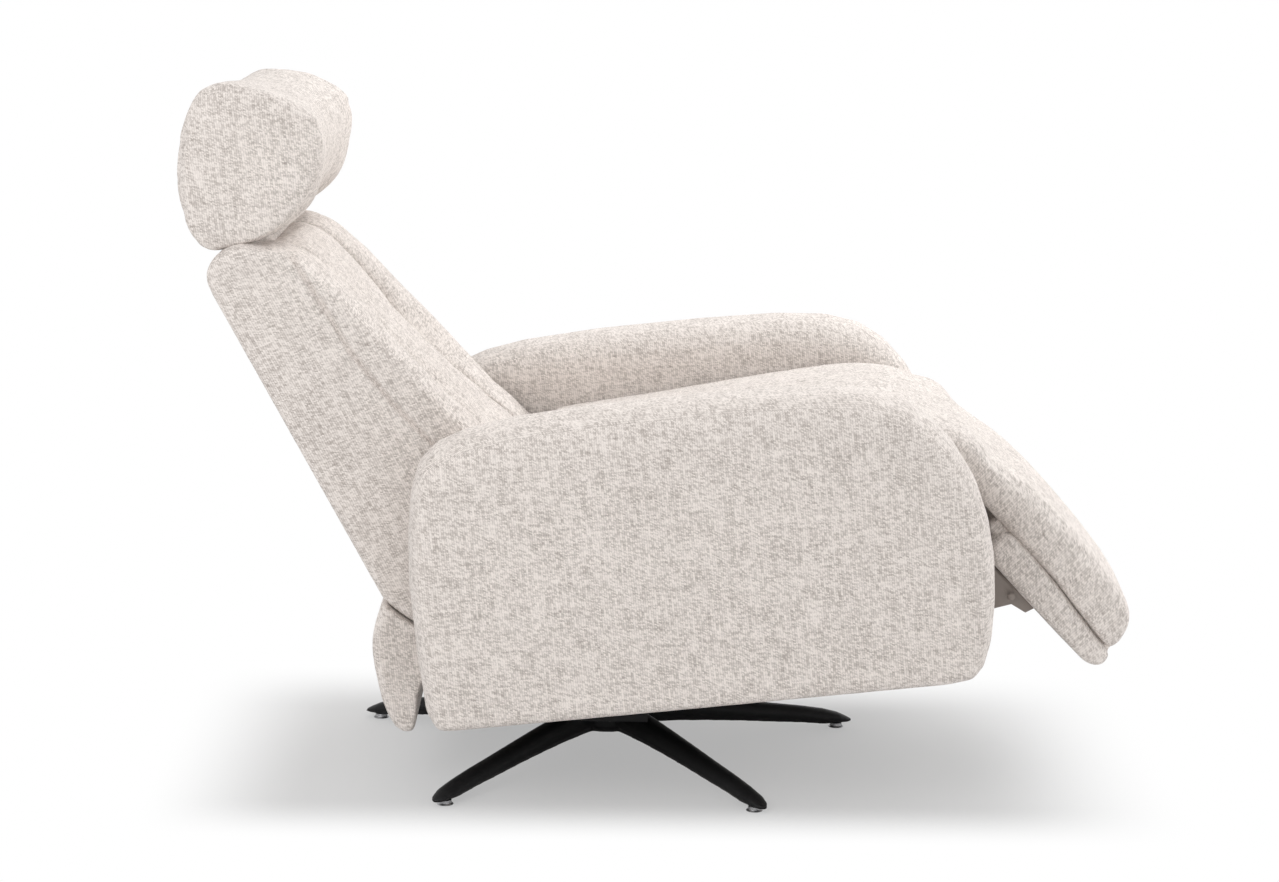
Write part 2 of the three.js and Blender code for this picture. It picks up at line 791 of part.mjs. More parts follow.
for (const side of sides) {
  const middle = side.sign * (sidePlateOuter + clearance + armHalf);
  addPiece(bodyGroup, `arm_${side.name}`, padded(outline(armShares, armBox, 1), middle, armHalf, {
    roundDepth: armRoundDepth,
    edges: { top: armTopEdge, front: armFrontEdge, low: armLowEdge, rear: armRearEdge },
    crown: 0,
    crownFace: [0, 1],
    waists: 2,
  }), fabric);
}

// Rear apron: a padded panel behind the seat, screwed to a rail between the side plates' tails. Its upper end is
// hollowed round the back's foot, which swings past it.
const shellFootRadius = 169.3;
const apronHalfWidth = 234;
const apronRoundDepth = 14;
const apronEdge = 8;
const apronRear = -308;
const apronFront = plateTailRear - clearance;
const apronLow = -39;
const apronTop = 138;
const apronRailRadius = 10;
const apronRailUp = 48;
const apronHollowRadius = shellFootRadius + 1.7;
const apronHollowStart = 240;
const apronHollowEnd = 218;
const apronHollowSteps = 4;
const apronShares = [
  [0.225, 0.975],
  [0.15, 0.91],
  [0.085, 0.84],
  [0.03, 0.76],
  [0, 0.66],
  [0.005, 0.55],
  [0.035, 0.42],
  [0.075, 0.28],
  [0.15, 0.16],
  [0.26, 0.06],
  [0.4, 0.01],
  [0.56, 0],
  [0.64, 0.04],
  [0.71, 0.17],
  [0.77, 0.28],
  [0.86, 0.37],
  [1, 0.42],
  [1, 0.52],
];
const apronPoints = apronShares.map(([along, up]) => new THREE.Vector2(
  THREE.MathUtils.lerp(apronRear, apronFront, along),
  THREE.MathUtils.lerp(apronLow, apronTop, up),
));
for (let step = 0; step <= apronHollowSteps; step += 1) {
  const turn = radians(THREE.MathUtils.lerp(apronHollowStart, apronHollowEnd, step / apronHollowSteps));
  apronPoints.push(new THREE.Vector2(
    reclineForward + apronHollowRadius * Math.cos(turn),
    reclineUp + apronHollowRadius * Math.sin(turn),
  ));
}
addPiece(bodyGroup, 'rear_apron', padded(apronPoints, 0, apronHalfWidth, {
  roundDepth: apronRoundDepth,
  edges: { top: clearance, front: clearance, low: apronEdge, rear: apronEdge },
  crown: 0,
  crownFace: [-1, 0],
  rounds: 3,
}), fabric);
addPiece(bodyGroup, 'apron_rail', crossTube(
  plateTailRear + apronRailRadius,
  apronRailUp,
  apronRailRadius,
  tubeReach,
  12,
), greySteel);


// Back: the shell is a foam block over a steel frame. It has a flat rear, a rounded top, a round foot about the
// recline pins, and side panels as deep as the seam where the bolsters begin.
const backRear = -163.7;
const shellFootStart = 196;
const shellFootEnd = 226;
const shellFootSteps = 4;
const backFootStart = 254.9;
const backFootEnd = 56;
const backFootSteps = 12;
const backRoundDepth = 12;
const backEdge = 11;
const footX = backFootRadius * Math.cos(radians(backFootEnd));
const footY = backFootRadius * Math.sin(radians(backFootEnd));

// The seam from the foot up to the top, as shares of the way from foot to rear face and from foot to top
const seamShares = [
  [0, 0],
  [0.14, 0.17],
  [0.306, 0.357],
  [0.492, 0.664],
  [0.65, 0.965],
];
const backPoint = (rearShare, upShare) => new THREE.Vector2(
  THREE.MathUtils.lerp(footX, backRear, rearShare),
  THREE.MathUtils.lerp(footY, backHeight, upShare),
);
const shellTopShares = [
  [0.72, 0.99],
  [0.8, 1],
  [0.91, 0.998],
  [0.98, 0.984],
  [1.02, 0.955],
  [1.03, 0.91],
];
const shellPoints = [new THREE.Vector2(backRear, -Math.sqrt(shellFootRadius ** 2 - backRear ** 2))];
for (let step = 0; step <= shellFootSteps; step += 1) {
  const turn = radians(THREE.MathUtils.lerp(shellFootStart, shellFootEnd, step / shellFootSteps));
  shellPoints.push(new THREE.Vector2(shellFootRadius * Math.cos(turn), shellFootRadius * Math.sin(turn)));
}
for (let step = 0; step < backFootSteps; step += 1) {
  const turn = THREE.MathUtils.lerp(backFootStart, 360 + backFootEnd, step / backFootSteps);
  shellPoints.push(new THREE.Vector2(
    backFootRadius * Math.cos(radians(turn)),
    backFootRadius * Math.sin(radians(turn)),
  ));
}
seamShares.forEach(([rearShare, upShare]) => shellPoints.push(backPoint(rearShare, upShare)));
shellTopShares.forEach(([rearShare, upShare]) => shellPoints.push(backPoint(rearShare, upShare)));

// Back frame: two flat uprights with hinge plates welded on for the recline pins, a top rail and a low rail
const uprightInner = 191.5;
const uprightWidth = 20;
const uprightDepth = 30;
const uprightForward = -113;
const uprightLow = -30;
const uprightTopInset = 37;
const uprightTop = backHeight - uprightTopInset;
const hingePlateThickness = 6;
const backRailRadius = 11;
const topRailInset = 54;
const topRailUp = backHeight - topRailInset;
const lowRailForward = -92;
const lowRailUp = 6;
const hingePlateHeel = 60;

const uprightLength = uprightTop - uprightLow;
const uprightMiddle = uprightInner + uprightWidth / 2;
const upright = (sign, grow) => block(
  uprightWidth + 2 * grow,
  uprightDepth + 2 * grow,
  uprightLength + 2 * grow,
  sign * uprightMiddle,
  uprightForward,
  (uprightLow + uprightTop) / 2,
);
function hingePlateShape(grow) {
  const shape = new THREE.Shape();
  const rear = uprightForward - uprightDepth / 2 - grow;
  shape.moveTo(rear, uprightLow - grow);
  shape.lineTo(0, -pivotHubRadius - grow);
  shape.absarc(0, 0, pivotHubRadius + grow, -Math.PI / 2, Math.PI / 2, false);
  shape.lineTo(uprightForward, hingePlateHeel + grow);
  shape.lineTo(rear, hingePlateHeel + grow);
  return shape;
}
const hingePlateMiddle = hingePlateInner + hingePlateThickness / 2;
const railReach = uprightInner - clearance;

// Lever of the gas spring, forked over the low rail, with a pin through its foot
const leverRadius = 110;
const leverRestDegrees = -91.4;
const forkInner = 9;
const forkThickness = 5;
const forkPinRadius = 4;
const leverEyeRadius = 10;
const leverBossRadius = 18;
const slotHalfWidth = 17;
const leverTurn = radians(leverRestDegrees + backLeanDegrees * -1);
const leverEye = new THREE.Vector2(leverRadius * Math.cos(leverTurn), leverRadius * Math.sin(leverTurn));
const lowRailPoint = new THREE.Vector2(lowRailForward, lowRailUp);
const forkMiddle = forkInner + forkThickness / 2;

function fork(railPoint, bossRadius, railBore, eyePoint) {
  const shape = strapShape(railPoint, bossRadius, eyePoint, leverEyeRadius);
  shape.holes.push(roundHole(railPoint.x, railPoint.y, railBore));
  const pin = turnedAcross([
    [0, -forkInner - forkThickness - 2 * clearance],
    [forkPinRadius, -forkInner - forkThickness - 2 * clearance],
    [forkPinRadius, forkInner + forkThickness + 2 * clearance],
    [0, forkInner + forkThickness + 2 * clearance],
  ], eyePoint.x, eyePoint.y);
  return joined([
    plate(shape, forkMiddle, forkThickness, 4),
    plate(shape, -forkMiddle, forkThickness, 4),
    pin,
  ]);
}
addPiece(backGroup, 'strut_lever', fork(
  lowRailPoint,
  leverBossRadius,
  backRailRadius + clearance,
  leverEye,
), greySteel);

// Headrest arms rise from the top rail to the headrest's hinge
const headrestArmInner = 107;
const headrestArmThickness = 6;
const headrestArmRadius = 12;
const headrestForward = -104;
const headrestRise = 60;
const headrestUp = backHeight + headrestRise;
const headrestPinRadius = 6;
const headrestArmMiddle = headrestArmInner + headrestArmThickness / 2;
const topRailPoint = new THREE.Vector2(uprightForward, topRailUp);
const headrestPoint = new THREE.Vector2(headrestForward, headrestUp);
const armBossRadius = backRailRadius + 5 * clearance + 3 * clearance;
const headrestArmShape = strapShape(topRailPoint, armBossRadius + 2, headrestPoint, headrestArmRadius);
headrestArmShape.holes.push(roundHole(topRailPoint.x, topRailPoint.y, backRailRadius + clearance));
headrestArmShape.holes.push(roundHole(headrestPoint.x, headrestPoint.y, headrestPinRadius + clearance));

const shellTools = [];
for (const side of sides) {
  const hingeShape = hingePlateShape(0);
  hingeShape.holes.push(roundHole(0, 0, pivotPinRadius + clearance));
  const hingeX = side.sign * hingePlateMiddle;
  addPiece(
    backGroup,
    `back_upright_${side.name}`,
    joined([upright(side.sign, 0), plate(hingeShape, hingeX, hingePlateThickness)]),
    greySteel,
  );
  const armX = side.sign * headrestArmMiddle;
  addPiece(backGroup, `headrest_arm_${side.name}`, plate(headrestArmShape, armX, headrestArmThickness), greySteel);
  shellTools.push(upright(side.sign, clearance));
  shellTools.push(plate(hingePlateShape(clearance), hingeX, hingePlateThickness + 2 * clearance));
  shellTools.push(turnedAcross([
    [0, side.sign * hingePlateInner],
    [pivotPinRadius + 2 * clearance, side.sign * hingePlateInner],
    [pivotPinRadius + 2 * clearance, side.sign * (backHalfWidth + overrun)],
    [0, side.sign * (backHalfWidth + overrun)],
  ], 0, 0));
  shellTools.push(block(
    headrestArmThickness + 4 * clearance,
    2 * armBossRadius + 3 * overrun,
    backHeight + overrun - uprightTop + 2 * (uprightTop - topRailUp),
    armX,
    uprightForward,
    (backHeight + overrun + 2 * topRailUp - uprightTop) / 2,
  ));
}
function rail(point, grow) {
  const radius = backRailRadius + grow;
  const reach = railReach + grow;
  return turnedAcross([[0, -reach], [radius, -reach], [radius, reach], [0, reach]], point.x, point.y);
}
addPiece(backGroup, 'back_top_rail', rail(topRailPoint, 0), greySteel);
addPiece(backGroup, 'back_low_rail', rail(lowRailPoint, 0), greySteel);
shellTools.push(rail(topRailPoint, clearance), rail(lowRailPoint, clearance));
const slotRear = lowRailForward - leverBossRadius - overrun;
const slotTop = lowRailUp + leverBossRadius + overrun;
const slotFront = footX;
shellTools.push(block(
  2 * slotHalfWidth,
  slotFront - slotRear,
  slotTop + shellFootRadius,
  0,
  (slotFront + slotRear) / 2,
  (slotTop - shellFootRadius) / 2,
));
addPiece(backGroup, 'back_shell', cut(padded(shellPoints, 0, backHalfWidth, {
  roundDepth: backRoundDepth,
  edges: { top: backEdge, front: clearance, low: backEdge / 2, rear: backEdge },
  crown: 0,
  crownFace: [1, 0],
  rounds: 3,
  waists: 1,
}), shellTools), fabric);

// Front of the back: a recessed centre pad between two full bolsters, deepest over the small of the back
const bolsterWidth = 112;
const padRecess = 20;
const padGap = 2 * clearance;
const padFootRadius = backFootRadius + padGap;
const padFootEnd = 17;
const padFootSteps = 4;
const padRoundDepth = 30;
const padEdge = 20;
const padTopEdge = 16;
const padCrown = 7;
const padTaper = 120;
const padTopTaper = 80;
const bolsterFront = 94;
const padLow = padFootRadius * Math.sin(radians(padFootEnd));

// The front face from the foot up, as shares of the way from the rear face forward, and from foot to top
const padFrontShares = [
  [0.985, 0.02],
  [1, 0.06],
  [0.99, 0.12],
  [0.969, 0.175],
  [0.922, 0.26],
  [0.872, 0.344],
  [0.793, 0.455],
  [0.712, 0.56],
  [0.662, 0.638],
  [0.592, 0.752],
  [0.51, 0.855],
  [0.44, 0.91],
  [0.38, 0.95],
  [0.325, 0.966],
];
function padPoints(recess) {
  const points = [];
  for (let step = 0; step <= padFootSteps; step += 1) {
    const turn = THREE.MathUtils.lerp(backFootEnd - 1, padFootEnd, step / padFootSteps);
    points.push(new THREE.Vector2(
      padFootRadius * Math.cos(radians(turn)),
      padFootRadius * Math.sin(radians(turn)),
    ));
  }
  for (const [forwardShare, upShare] of padFrontShares) {
    const full = THREE.MathUtils.lerp(backRear, bolsterFront, forwardShare);
    const upward = THREE.MathUtils.lerp(padLow, backHeight, upShare);
    const depthShare = Math.sin(Math.PI * THREE.MathUtils.clamp(upShare, 0, 1));
    points.push(new THREE.Vector2(full - recess * depthShare, upward));
  }
  for (const [rearShare, upShare] of seamShares.slice(1).reverse()) {
    points.push(backPoint(rearShare, upShare).add(new THREE.Vector2(padGap, 0)));
  }
  return points;
}
const padEase = (point) => Math.min(
  THREE.MathUtils.clamp((point.y - padLow) / padTaper, padLow / padTaper / 2, 1),
  THREE.MathUtils.clamp((backHeight - point.y) / padTopTaper, padLow / padTaper, 1),
);
const padShape = {
  roundDepth: padRoundDepth,
  edges: { top: padTopEdge, front: padEdge, low: clearance, rear: clearance },
  crown: padCrown,
  crownFace: [1, 0],
  rounds: 3,
  waists: 2,
  ease: padEase,
};
const centreHalfWidth = backHalfWidth - bolsterWidth;
const bolsterMiddle = backHalfWidth - bolsterWidth / 2 + clearance / 2;
const bolsterHalf = bolsterWidth / 2 - clearance / 2;
addPiece(backGroup, 'back_centre_pad', padded(padPoints(padRecess), 0, centreHalfWidth, padShape), fabric);
for (const side of sides) {
  const x = side.sign * bolsterMiddle;
  addPiece(backGroup, `back_bolster_${side.name}`, padded(padPoints(0), x, bolsterHalf, padShape), fabric);
}

// Headrest: a wedge cushion with a round foot, full at the top and pointing forward over the shoulders.
// It turns with friction on a shaft through the two arms.
const headrestGroup = new THREE.Group();
headrestGroup.position.set(0, -headrestForward, headrestUp);
headrestGroup.rotation.x = radians(backLeanDegrees);
backGroup.add(headrestGroup);
const headrestRear = -56;
const headrestFront = 142;
const headrestFoot = -59;
const headrestTop = 150;
const headrestRoundDepth = 20;
const headrestTopEdge = 22;
const headrestFrontEdge = 7;
const headrestRearEdge = 12;
const headrestHollow = 20;
const headrestHollowFace = [0.9, 0.43];
const headrestShares = [
  [0.37, 0.01],
  [0.55, 0.075],
  [0.72, 0.185],
  [0.87, 0.325],
  [0.955, 0.46],
  [0.99, 0.56],
  [1, 0.66],
  [0.985, 0.75],
  [0.94, 0.82],
  [0.85, 0.88],
  [0.72, 0.935],
  [0.56, 0.98],
  [0.38, 1],
  [0.22, 0.945],
  [0.1, 0.8],
  [0.03, 0.6],
  [0, 0.41],
  [0.02, 0.205],
  [0.1, 0.052],
  [0.23, 0],
];
const headrestBox = { rear: headrestRear, front: headrestFront, low: headrestFoot, high: headrestTop };
const shaftRadius = 9;
const discRadius = 22;
const discThickness = 6;
const discInner = headrestArmInner + headrestArmThickness + 2 * clearance;
const shaftReach = headrestArmInner - 2 * clearance;
addPiece(headrestGroup, 'headrest_shaft', turnedAcross([
  [0, -discInner - discThickness],
  [discRadius, -discInner - discThickness],
  [discRadius, -discInner],
  [headrestPinRadius, -discInner],
  [headrestPinRadius, -shaftReach],
  [shaftRadius, -shaftReach],
  [shaftRadius, shaftReach],
  [headrestPinRadius, shaftReach],
  [headrestPinRadius, discInner],
  [discRadius, discInner],
  [discRadius, discInner + discThickness],
  [0, discInner + discThickness],
], 0, 0, 16), greySteel);

const pocketInner = shaftReach - 2 * clearance;
const pocketOuter = discInner + discThickness + clearance;
const pocketReach = 90;
const pocketSide = armBossRadius + 2 + 2 * clearance;
const pocketForwardDegrees = 16;
const pocketRearwardDegrees = 26;
const armRest = new THREE.Vector2().subVectors(topRailPoint, headrestPoint).angle() + radians(backLeanDegrees);
const pocketStart = armRest - radians(pocketRearwardDegrees);
const pocketEnd = armRest + radians(pocketForwardDegrees);
const pocketSpread = Math.atan(pocketSide / pocketReach);
const pocketFar = Math.hypot(pocketReach, pocketSide);
const pocketShape = new THREE.Shape();
pocketShape.moveTo(pocketSide * Math.sin(pocketStart), -pocketSide * Math.cos(pocketStart));
pocketShape.lineTo(
  pocketFar * Math.cos(pocketStart - pocketSpread),
  pocketFar * Math.sin(pocketStart - pocketSpread),
);
pocketShape.absarc(0, 0, pocketFar, pocketStart - pocketSpread, pocketEnd + pocketSpread, false);
pocketShape.lineTo(-pocketSide * Math.sin(pocketEnd), pocketSide * Math.cos(pocketEnd));
const headrestTools = [turnedAcross([
  [0, -pocketOuter + clearance],
  [shaftRadius + clearance, -pocketOuter + clearance],
  [shaftRadius + clearance, pocketOuter - clearance],
  [0, pocketOuter - clearance],
], 0, 0, 16)];
for (const side of sides) {
  const x = (side.sign * (pocketInner + pocketOuter)) / 2;
  headrestTools.push(plate(pocketShape, x, pocketOuter - pocketInner));
  headrestTools.push(turnedAcross([
    [0, side.sign * pocketInner],
    [discRadius + clearance, side.sign * pocketInner],
    [discRadius + clearance, side.sign * pocketOuter],
    [0, side.sign * pocketOuter],
  ], 0, 0, 16));
}
addPiece(headrestGroup, 'headrest_cushion', cut(padded(
  outline(headrestShares, headrestBox, 2),
  0,
  headrestHalfWidth,
  {
    roundDepth: headrestRoundDepth,
    edges: {
      top: headrestTopEdge,
      front: headrestFrontEdge,
      low: headrestFrontEdge,
      rear: headrestRearEdge,
    },
    crown: -headrestHollow,
    crownFace: headrestHollowFace,
    rounds: 3,
    waists: 4,
  },
), headrestTools), fabric);

// Footrest pad: the lower end of the seat's long cushion. Its upper end is hollowed round the deck's nose.
const noseGap = 0.8;
const padSeatRadius = noseRadius + noseGap;
const footrestHalfWidth = 240;
const footrestPadTop = 60;
const footrestPadLow = -9;
const footrestTip = 332;
const footrestRoundDepth = 30;
const footrestTopEdge = 16;
const footrestFrontEdge = 14;
const footrestLowEdge = 7;
const footrestCrown = 12;
const footrestThinReach = 90;
const hollowStart = 7;
const hollowEnd = 86;
const hollowSteps = 6;

// Shares of the length from the hinge to the tip and of the height from the low to the top of the pad
const footrestPadShares = [
  [0.15, 0.185],
  [0.28, 0.18],
  [0.45, 0.175],
  [0.62, 0.145],
  [0.76, 0.075],
  [0.88, 0.03],
  [0.96, 0.008],
  [0.985, 0.03],
  [1, 0.2],
  [0.992, 0.42],
  [0.962, 0.65],
  [0.91, 0.8],
  [0.845, 0.9],
  [0.685, 0.97],
  [0.54, 1],
  [0.41, 1],
  [0.285, 0.965],
  [0.175, 0.86],
  [0.075, 0.79],
  [0.02, 0.785],
];
const footrestPadPoints = [];
for (let step = 0; step < hollowSteps; step += 1) {
  const turn = THREE.MathUtils.lerp(hollowEnd, hollowStart, step / (hollowSteps - 1));
  footrestPadPoints.push(new THREE.Vector2(
    padSeatRadius * Math.cos(radians(turn)),
    padSeatRadius * Math.sin(radians(turn)),
  ));
}
for (const [along, up] of footrestPadShares) {
  footrestPadPoints.push(new THREE.Vector2(
    along * footrestTip,
    THREE.MathUtils.lerp(footrestPadLow, footrestPadTop, up),
  ));
}
const thinEase = (point) => THREE.MathUtils.clamp(point.x / footrestThinReach, clearance / noseRadius, 1);
addPiece(footrestGroup, 'footrest_pad', padded(footrestPadPoints, 0, footrestHalfWidth, {
  roundDepth: footrestRoundDepth,
  edges: { top: footrestTopEdge, front: footrestFrontEdge, low: footrestLowEdge, rear: clearance },
  crown: footrestCrown,
  crownFace: [0, 1],
  rounds: 4,
  waists: 4,
  ease: thinEase,
}), fabric);

// Footrest board: the upholstered lower layer that the brackets are screwed to
const boardRear = 110;
const boardLow = -41;
const boardTop = 3;
const boardHalfWidth = 235;
const boardRoundDepth = 9;
const boardEdge = 8;
const boardBox = { rear: boardRear, front: footrestLength, low: boardLow, high: boardTop };
const boardShares = [
  [0.03, 0.14],
  [0.1, 0.02],
  [0.4, 0],
  [0.7, 0.004],
  [0.92, 0.03],
  [0.985, 0.18],
  [1, 0.42],
  [0.985, 0.62],
  [0.93, 0.68],
  [0.82, 0.71],
  [0.65, 0.79],
  [0.45, 0.9],
  [0.25, 0.955],
  [0.06, 0.96],
  [0.01, 0.8],
  [0, 0.45],
];
addPiece(footrestGroup, 'footrest_board', padded(outline(boardShares, boardBox, 1), 0, boardHalfWidth, {
  roundDepth: boardRoundDepth,
  edges: { top: boardEdge, front: boardEdge, low: boardEdge, rear: boardEdge },
  crown: 0,
  crownFace: [0, -1],
  rounds: 3,
  waists: 1,
}), fabric);

// Footrest brackets: pressed plates from the hinge to the board, with a flange under the board, a stud for
// the drive link and a notched lower edge where they show beyond the arm
const bracketFlangeWidth = 26;
const bracketFlangeRear = 128;
const bracketFlangeFront = 212;
const linkLever = 25;
const footrestTubeRadius = 8;
const footrestTubeForward = 183;
const footrestTubeUp = -54.4;
const rivetRadius = 3;
const studShoulderRadius = 8;
const flangeTopUp = boardLow - 2 * clearance;
const bracketHubStart = 20;
const bracketEnd = 218.5;
const notchForward = 193;
const notchUp = -62;
const toeUp = -56;
const heelForward = 181;
const heelUp = -84;
const bellyForward = 150;
const bellyUp = -79;
const waistForward = 96;
const waistUp = -44;
const bracketMiddle = bracketInner + bracketThickness / 2;
const dropTurn = radians(footrestDropDegrees);
const linkStud = new THREE.Vector2(linkLever * Math.sin(dropTurn), -linkLever * Math.cos(dropTurn));

const bracketShape = new THREE.Shape();
bracketShape.absarc(0, 0, pivotHubRadius, radians(bracketHubStart), Math.PI + dropTurn, false);
bracketShape.lineTo(linkStud.x, linkStud.y - pivotHubRadius);
bracketShape.lineTo(waistForward, waistUp);
bracketShape.lineTo(bellyForward, bellyUp);
bracketShape.lineTo(heelForward, heelUp);
bracketShape.lineTo(notchForward, notchUp);
bracketShape.lineTo(bracketEnd - bracketThickness, toeUp);
bracketShape.lineTo(bracketEnd, flangeTopUp);
bracketShape.lineTo(boardRear - pivotPinRadius, flangeTopUp);
bracketShape.lineTo(boardRear - 2 * pivotHubRadius, -pivotPinRadius);
bracketShape.holes.push(roundHole(0, 0, pivotPinRadius + clearance));
bracketShape.holes.push(roundHole(footrestTubeForward, footrestTubeUp, rivetRadius));
for (const side of sides) {
  const stud = turnedAcross([
    [0, side.sign * bracketMiddle],
    [studShoulderRadius, side.sign * bracketMiddle],
    [studShoulderRadius, side.sign * (linkInner - clearance)],
    [linkStudRadius, side.sign * (linkInner - clearance)],
    [linkStudRadius, side.sign * (linkInner + linkThickness + clearance)],
    [0, side.sign * (linkInner + linkThickness + clearance)],
  ], linkStud.x, linkStud.y);
  const flange = block(
    bracketFlangeWidth,
    bracketFlangeFront - bracketFlangeRear,
    bracketThickness,
    side.sign * (bracketInner + bracketThickness - bracketFlangeWidth / 2),
    (bracketFlangeFront + bracketFlangeRear) / 2,
    flangeTopUp - bracketThickness / 2,
  );
  const bracketPlate = plate(bracketShape, side.sign * bracketMiddle, bracketThickness);
  addPiece(
    footrestGroup,
    `footrest_bracket_${side.name}`,
    joined([bracketPlate, flange, stud]),
    greySteel,
  );
}
const footrestTubeReach = bracketInner - clearance;
addPiece(footrestGroup, 'footrest_tube', crossTube(
  footrestTubeForward,
  footrestTubeUp,
  footrestTubeRadius,
  footrestTubeReach,
  12,
), greySteel);

// Drive links: each runs from a cheek's stud to a bracket's stud, so the footrest swings out as the body tilts.
// The front eye is a slot, because the stud rises a little at both ends of its swing.
const linkEyeRadius = 12;
const linkFrontEyeRadius = 14;
const linkSlotRise = 6.3;
const linkSlotRadius = 5.5;
const linkRearPoint = new THREE.Vector2(0, linkStudRise);
const linkFrontPoint = new THREE.Vector2(footrestForward, footrestUp - linkLever);
const linkShape = strapShape(linkRearPoint, linkEyeRadius, linkFrontPoint, linkFrontEyeRadius);
linkShape.holes.push(roundHole(linkRearPoint.x, linkRearPoint.y, linkStudRadius + clearance));
function slotHole(point, riseForward, riseUp, radius) {
  const hole = new THREE.Path();
  const turn = new THREE.Vector2(riseForward, riseUp).angle();
  hole.absarc(point.x, point.y, radius, turn - Math.PI / 2, turn - 1.5 * Math.PI, true);
  hole.absarc(point.x + riseForward, point.y + riseUp, radius, turn + Math.PI / 2, turn - Math.PI / 2, true);
  return hole;
}
linkShape.holes.push(slotHole(linkFrontPoint, 0, linkSlotRise, linkSlotRadius));
for (const side of sides) {
  const x = side.sign * (linkInner + linkThickness / 2);
  addPiece(bodyGroup, `drive_link_${side.name}`, plate(linkShape, x, linkThickness, 5), greySteel);
}

// Gas spring from a clevis on the front cross tube to the back's lever: cylinder and rod
const strutClevisForward = 262;
const strutClevisUp = 112;
const strutNeckRadius = 6;
const strutEyeRadius = 9;
const strutEyeThickness = 16;
const strutCapStart = 16;
const strutCylinderRadius = 12;
const strutCylinderEnd = 232;
const strutBoreStart = 90;
const rodRadius = 5;
const rodRunning = 0.4;
const rodInnerEnd = 140;
const rodEyeSlotRise = 7.8;
const rodEyeSlotRadius = 6.5;
const rodEyeRadius = 10;
const clevisPoint = new THREE.Vector2(strutClevisForward, strutClevisUp);
const frontTubePoint = new THREE.Vector2(frontTubeForward, frontTubeUp);
addPiece(bodyGroup, 'strut_clevis', fork(
  frontTubePoint,
  crossTubeRadius + forkThickness,
  crossTubeRadius + clearance,
  clevisPoint,
), greySteel);

// The strut's own frame: origin on the clevis pin, forward along the strut to the lever
const leverBodyTurn = radians(leverRestDegrees);
const leverPoint = new THREE.Vector2(
  reclineForward + leverRadius * Math.cos(leverBodyTurn),
  reclineUp + leverRadius * Math.sin(leverBodyTurn),
);
const strutLine = new THREE.Vector2().subVectors(leverPoint, clevisPoint);
const strutLength = strutLine.length();
const strutGroup = new THREE.Group();
strutGroup.position.set(0, -strutClevisForward, strutClevisUp);
strutGroup.rotation.x = -strutLine.angle();
bodyGroup.add(strutGroup);

// A turned piece with its axis along its group's forward line; the profile is pairs of radius and distance
function turnedForward(profile, segments = 16) {
  const points = profile.map(([radius, distance]) => new THREE.Vector2(radius, distance));
  const geometry = new THREE.LatheGeometry(points, segments);
  geometry.rotateX(Math.PI);
  return facingOut(geometry);
}
const eyeShape = new THREE.Shape();
eyeShape.absarc(0, 0, strutEyeRadius, 0, 2 * Math.PI, false);
eyeShape.holes.push(roundHole(0, 0, forkPinRadius + clearance));
addPiece(strutGroup, 'strut_cylinder', joined([
  plate(eyeShape, 0, strutEyeThickness),
  turnedForward([
    [0, strutEyeRadius - 2 * clearance],
    [strutNeckRadius, strutEyeRadius - 2 * clearance],
    [strutNeckRadius, strutCapStart],
    [strutCylinderRadius, strutCapStart],
    [strutCylinderRadius, strutCylinderEnd],
    [rodRadius + rodRunning, strutCylinderEnd],
    [rodRadius + rodRunning, strutBoreStart],
    [0, strutBoreStart],
  ]),
]), blackCoat);
const rodEyeShape = strapShape(
  new THREE.Vector2(strutLength, 0),
  rodEyeRadius,
  new THREE.Vector2(strutLength, -rodEyeSlotRise),
  rodEyeRadius,
);
rodEyeShape.holes.push(slotHole(new THREE.Vector2(strutLength, 0), 0, -rodEyeSlotRise, rodEyeSlotRadius));
addPiece(strutGroup, 'strut_rod', joined([
  plate(rodEyeShape, 0, strutEyeThickness),
  turnedForward([
    [0, rodInnerEnd],
    [rodRadius, rodInnerEnd],
    [rodRadius, strutLength - rodEyeRadius + 2 * clearance],
    [0, strutLength - rodEyeRadius + 2 * clearance],
  ]),
]), brightSteel);

export default recliner;
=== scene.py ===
import json
import math

import bpy
import numpy
from mathutils import Matrix, Vector


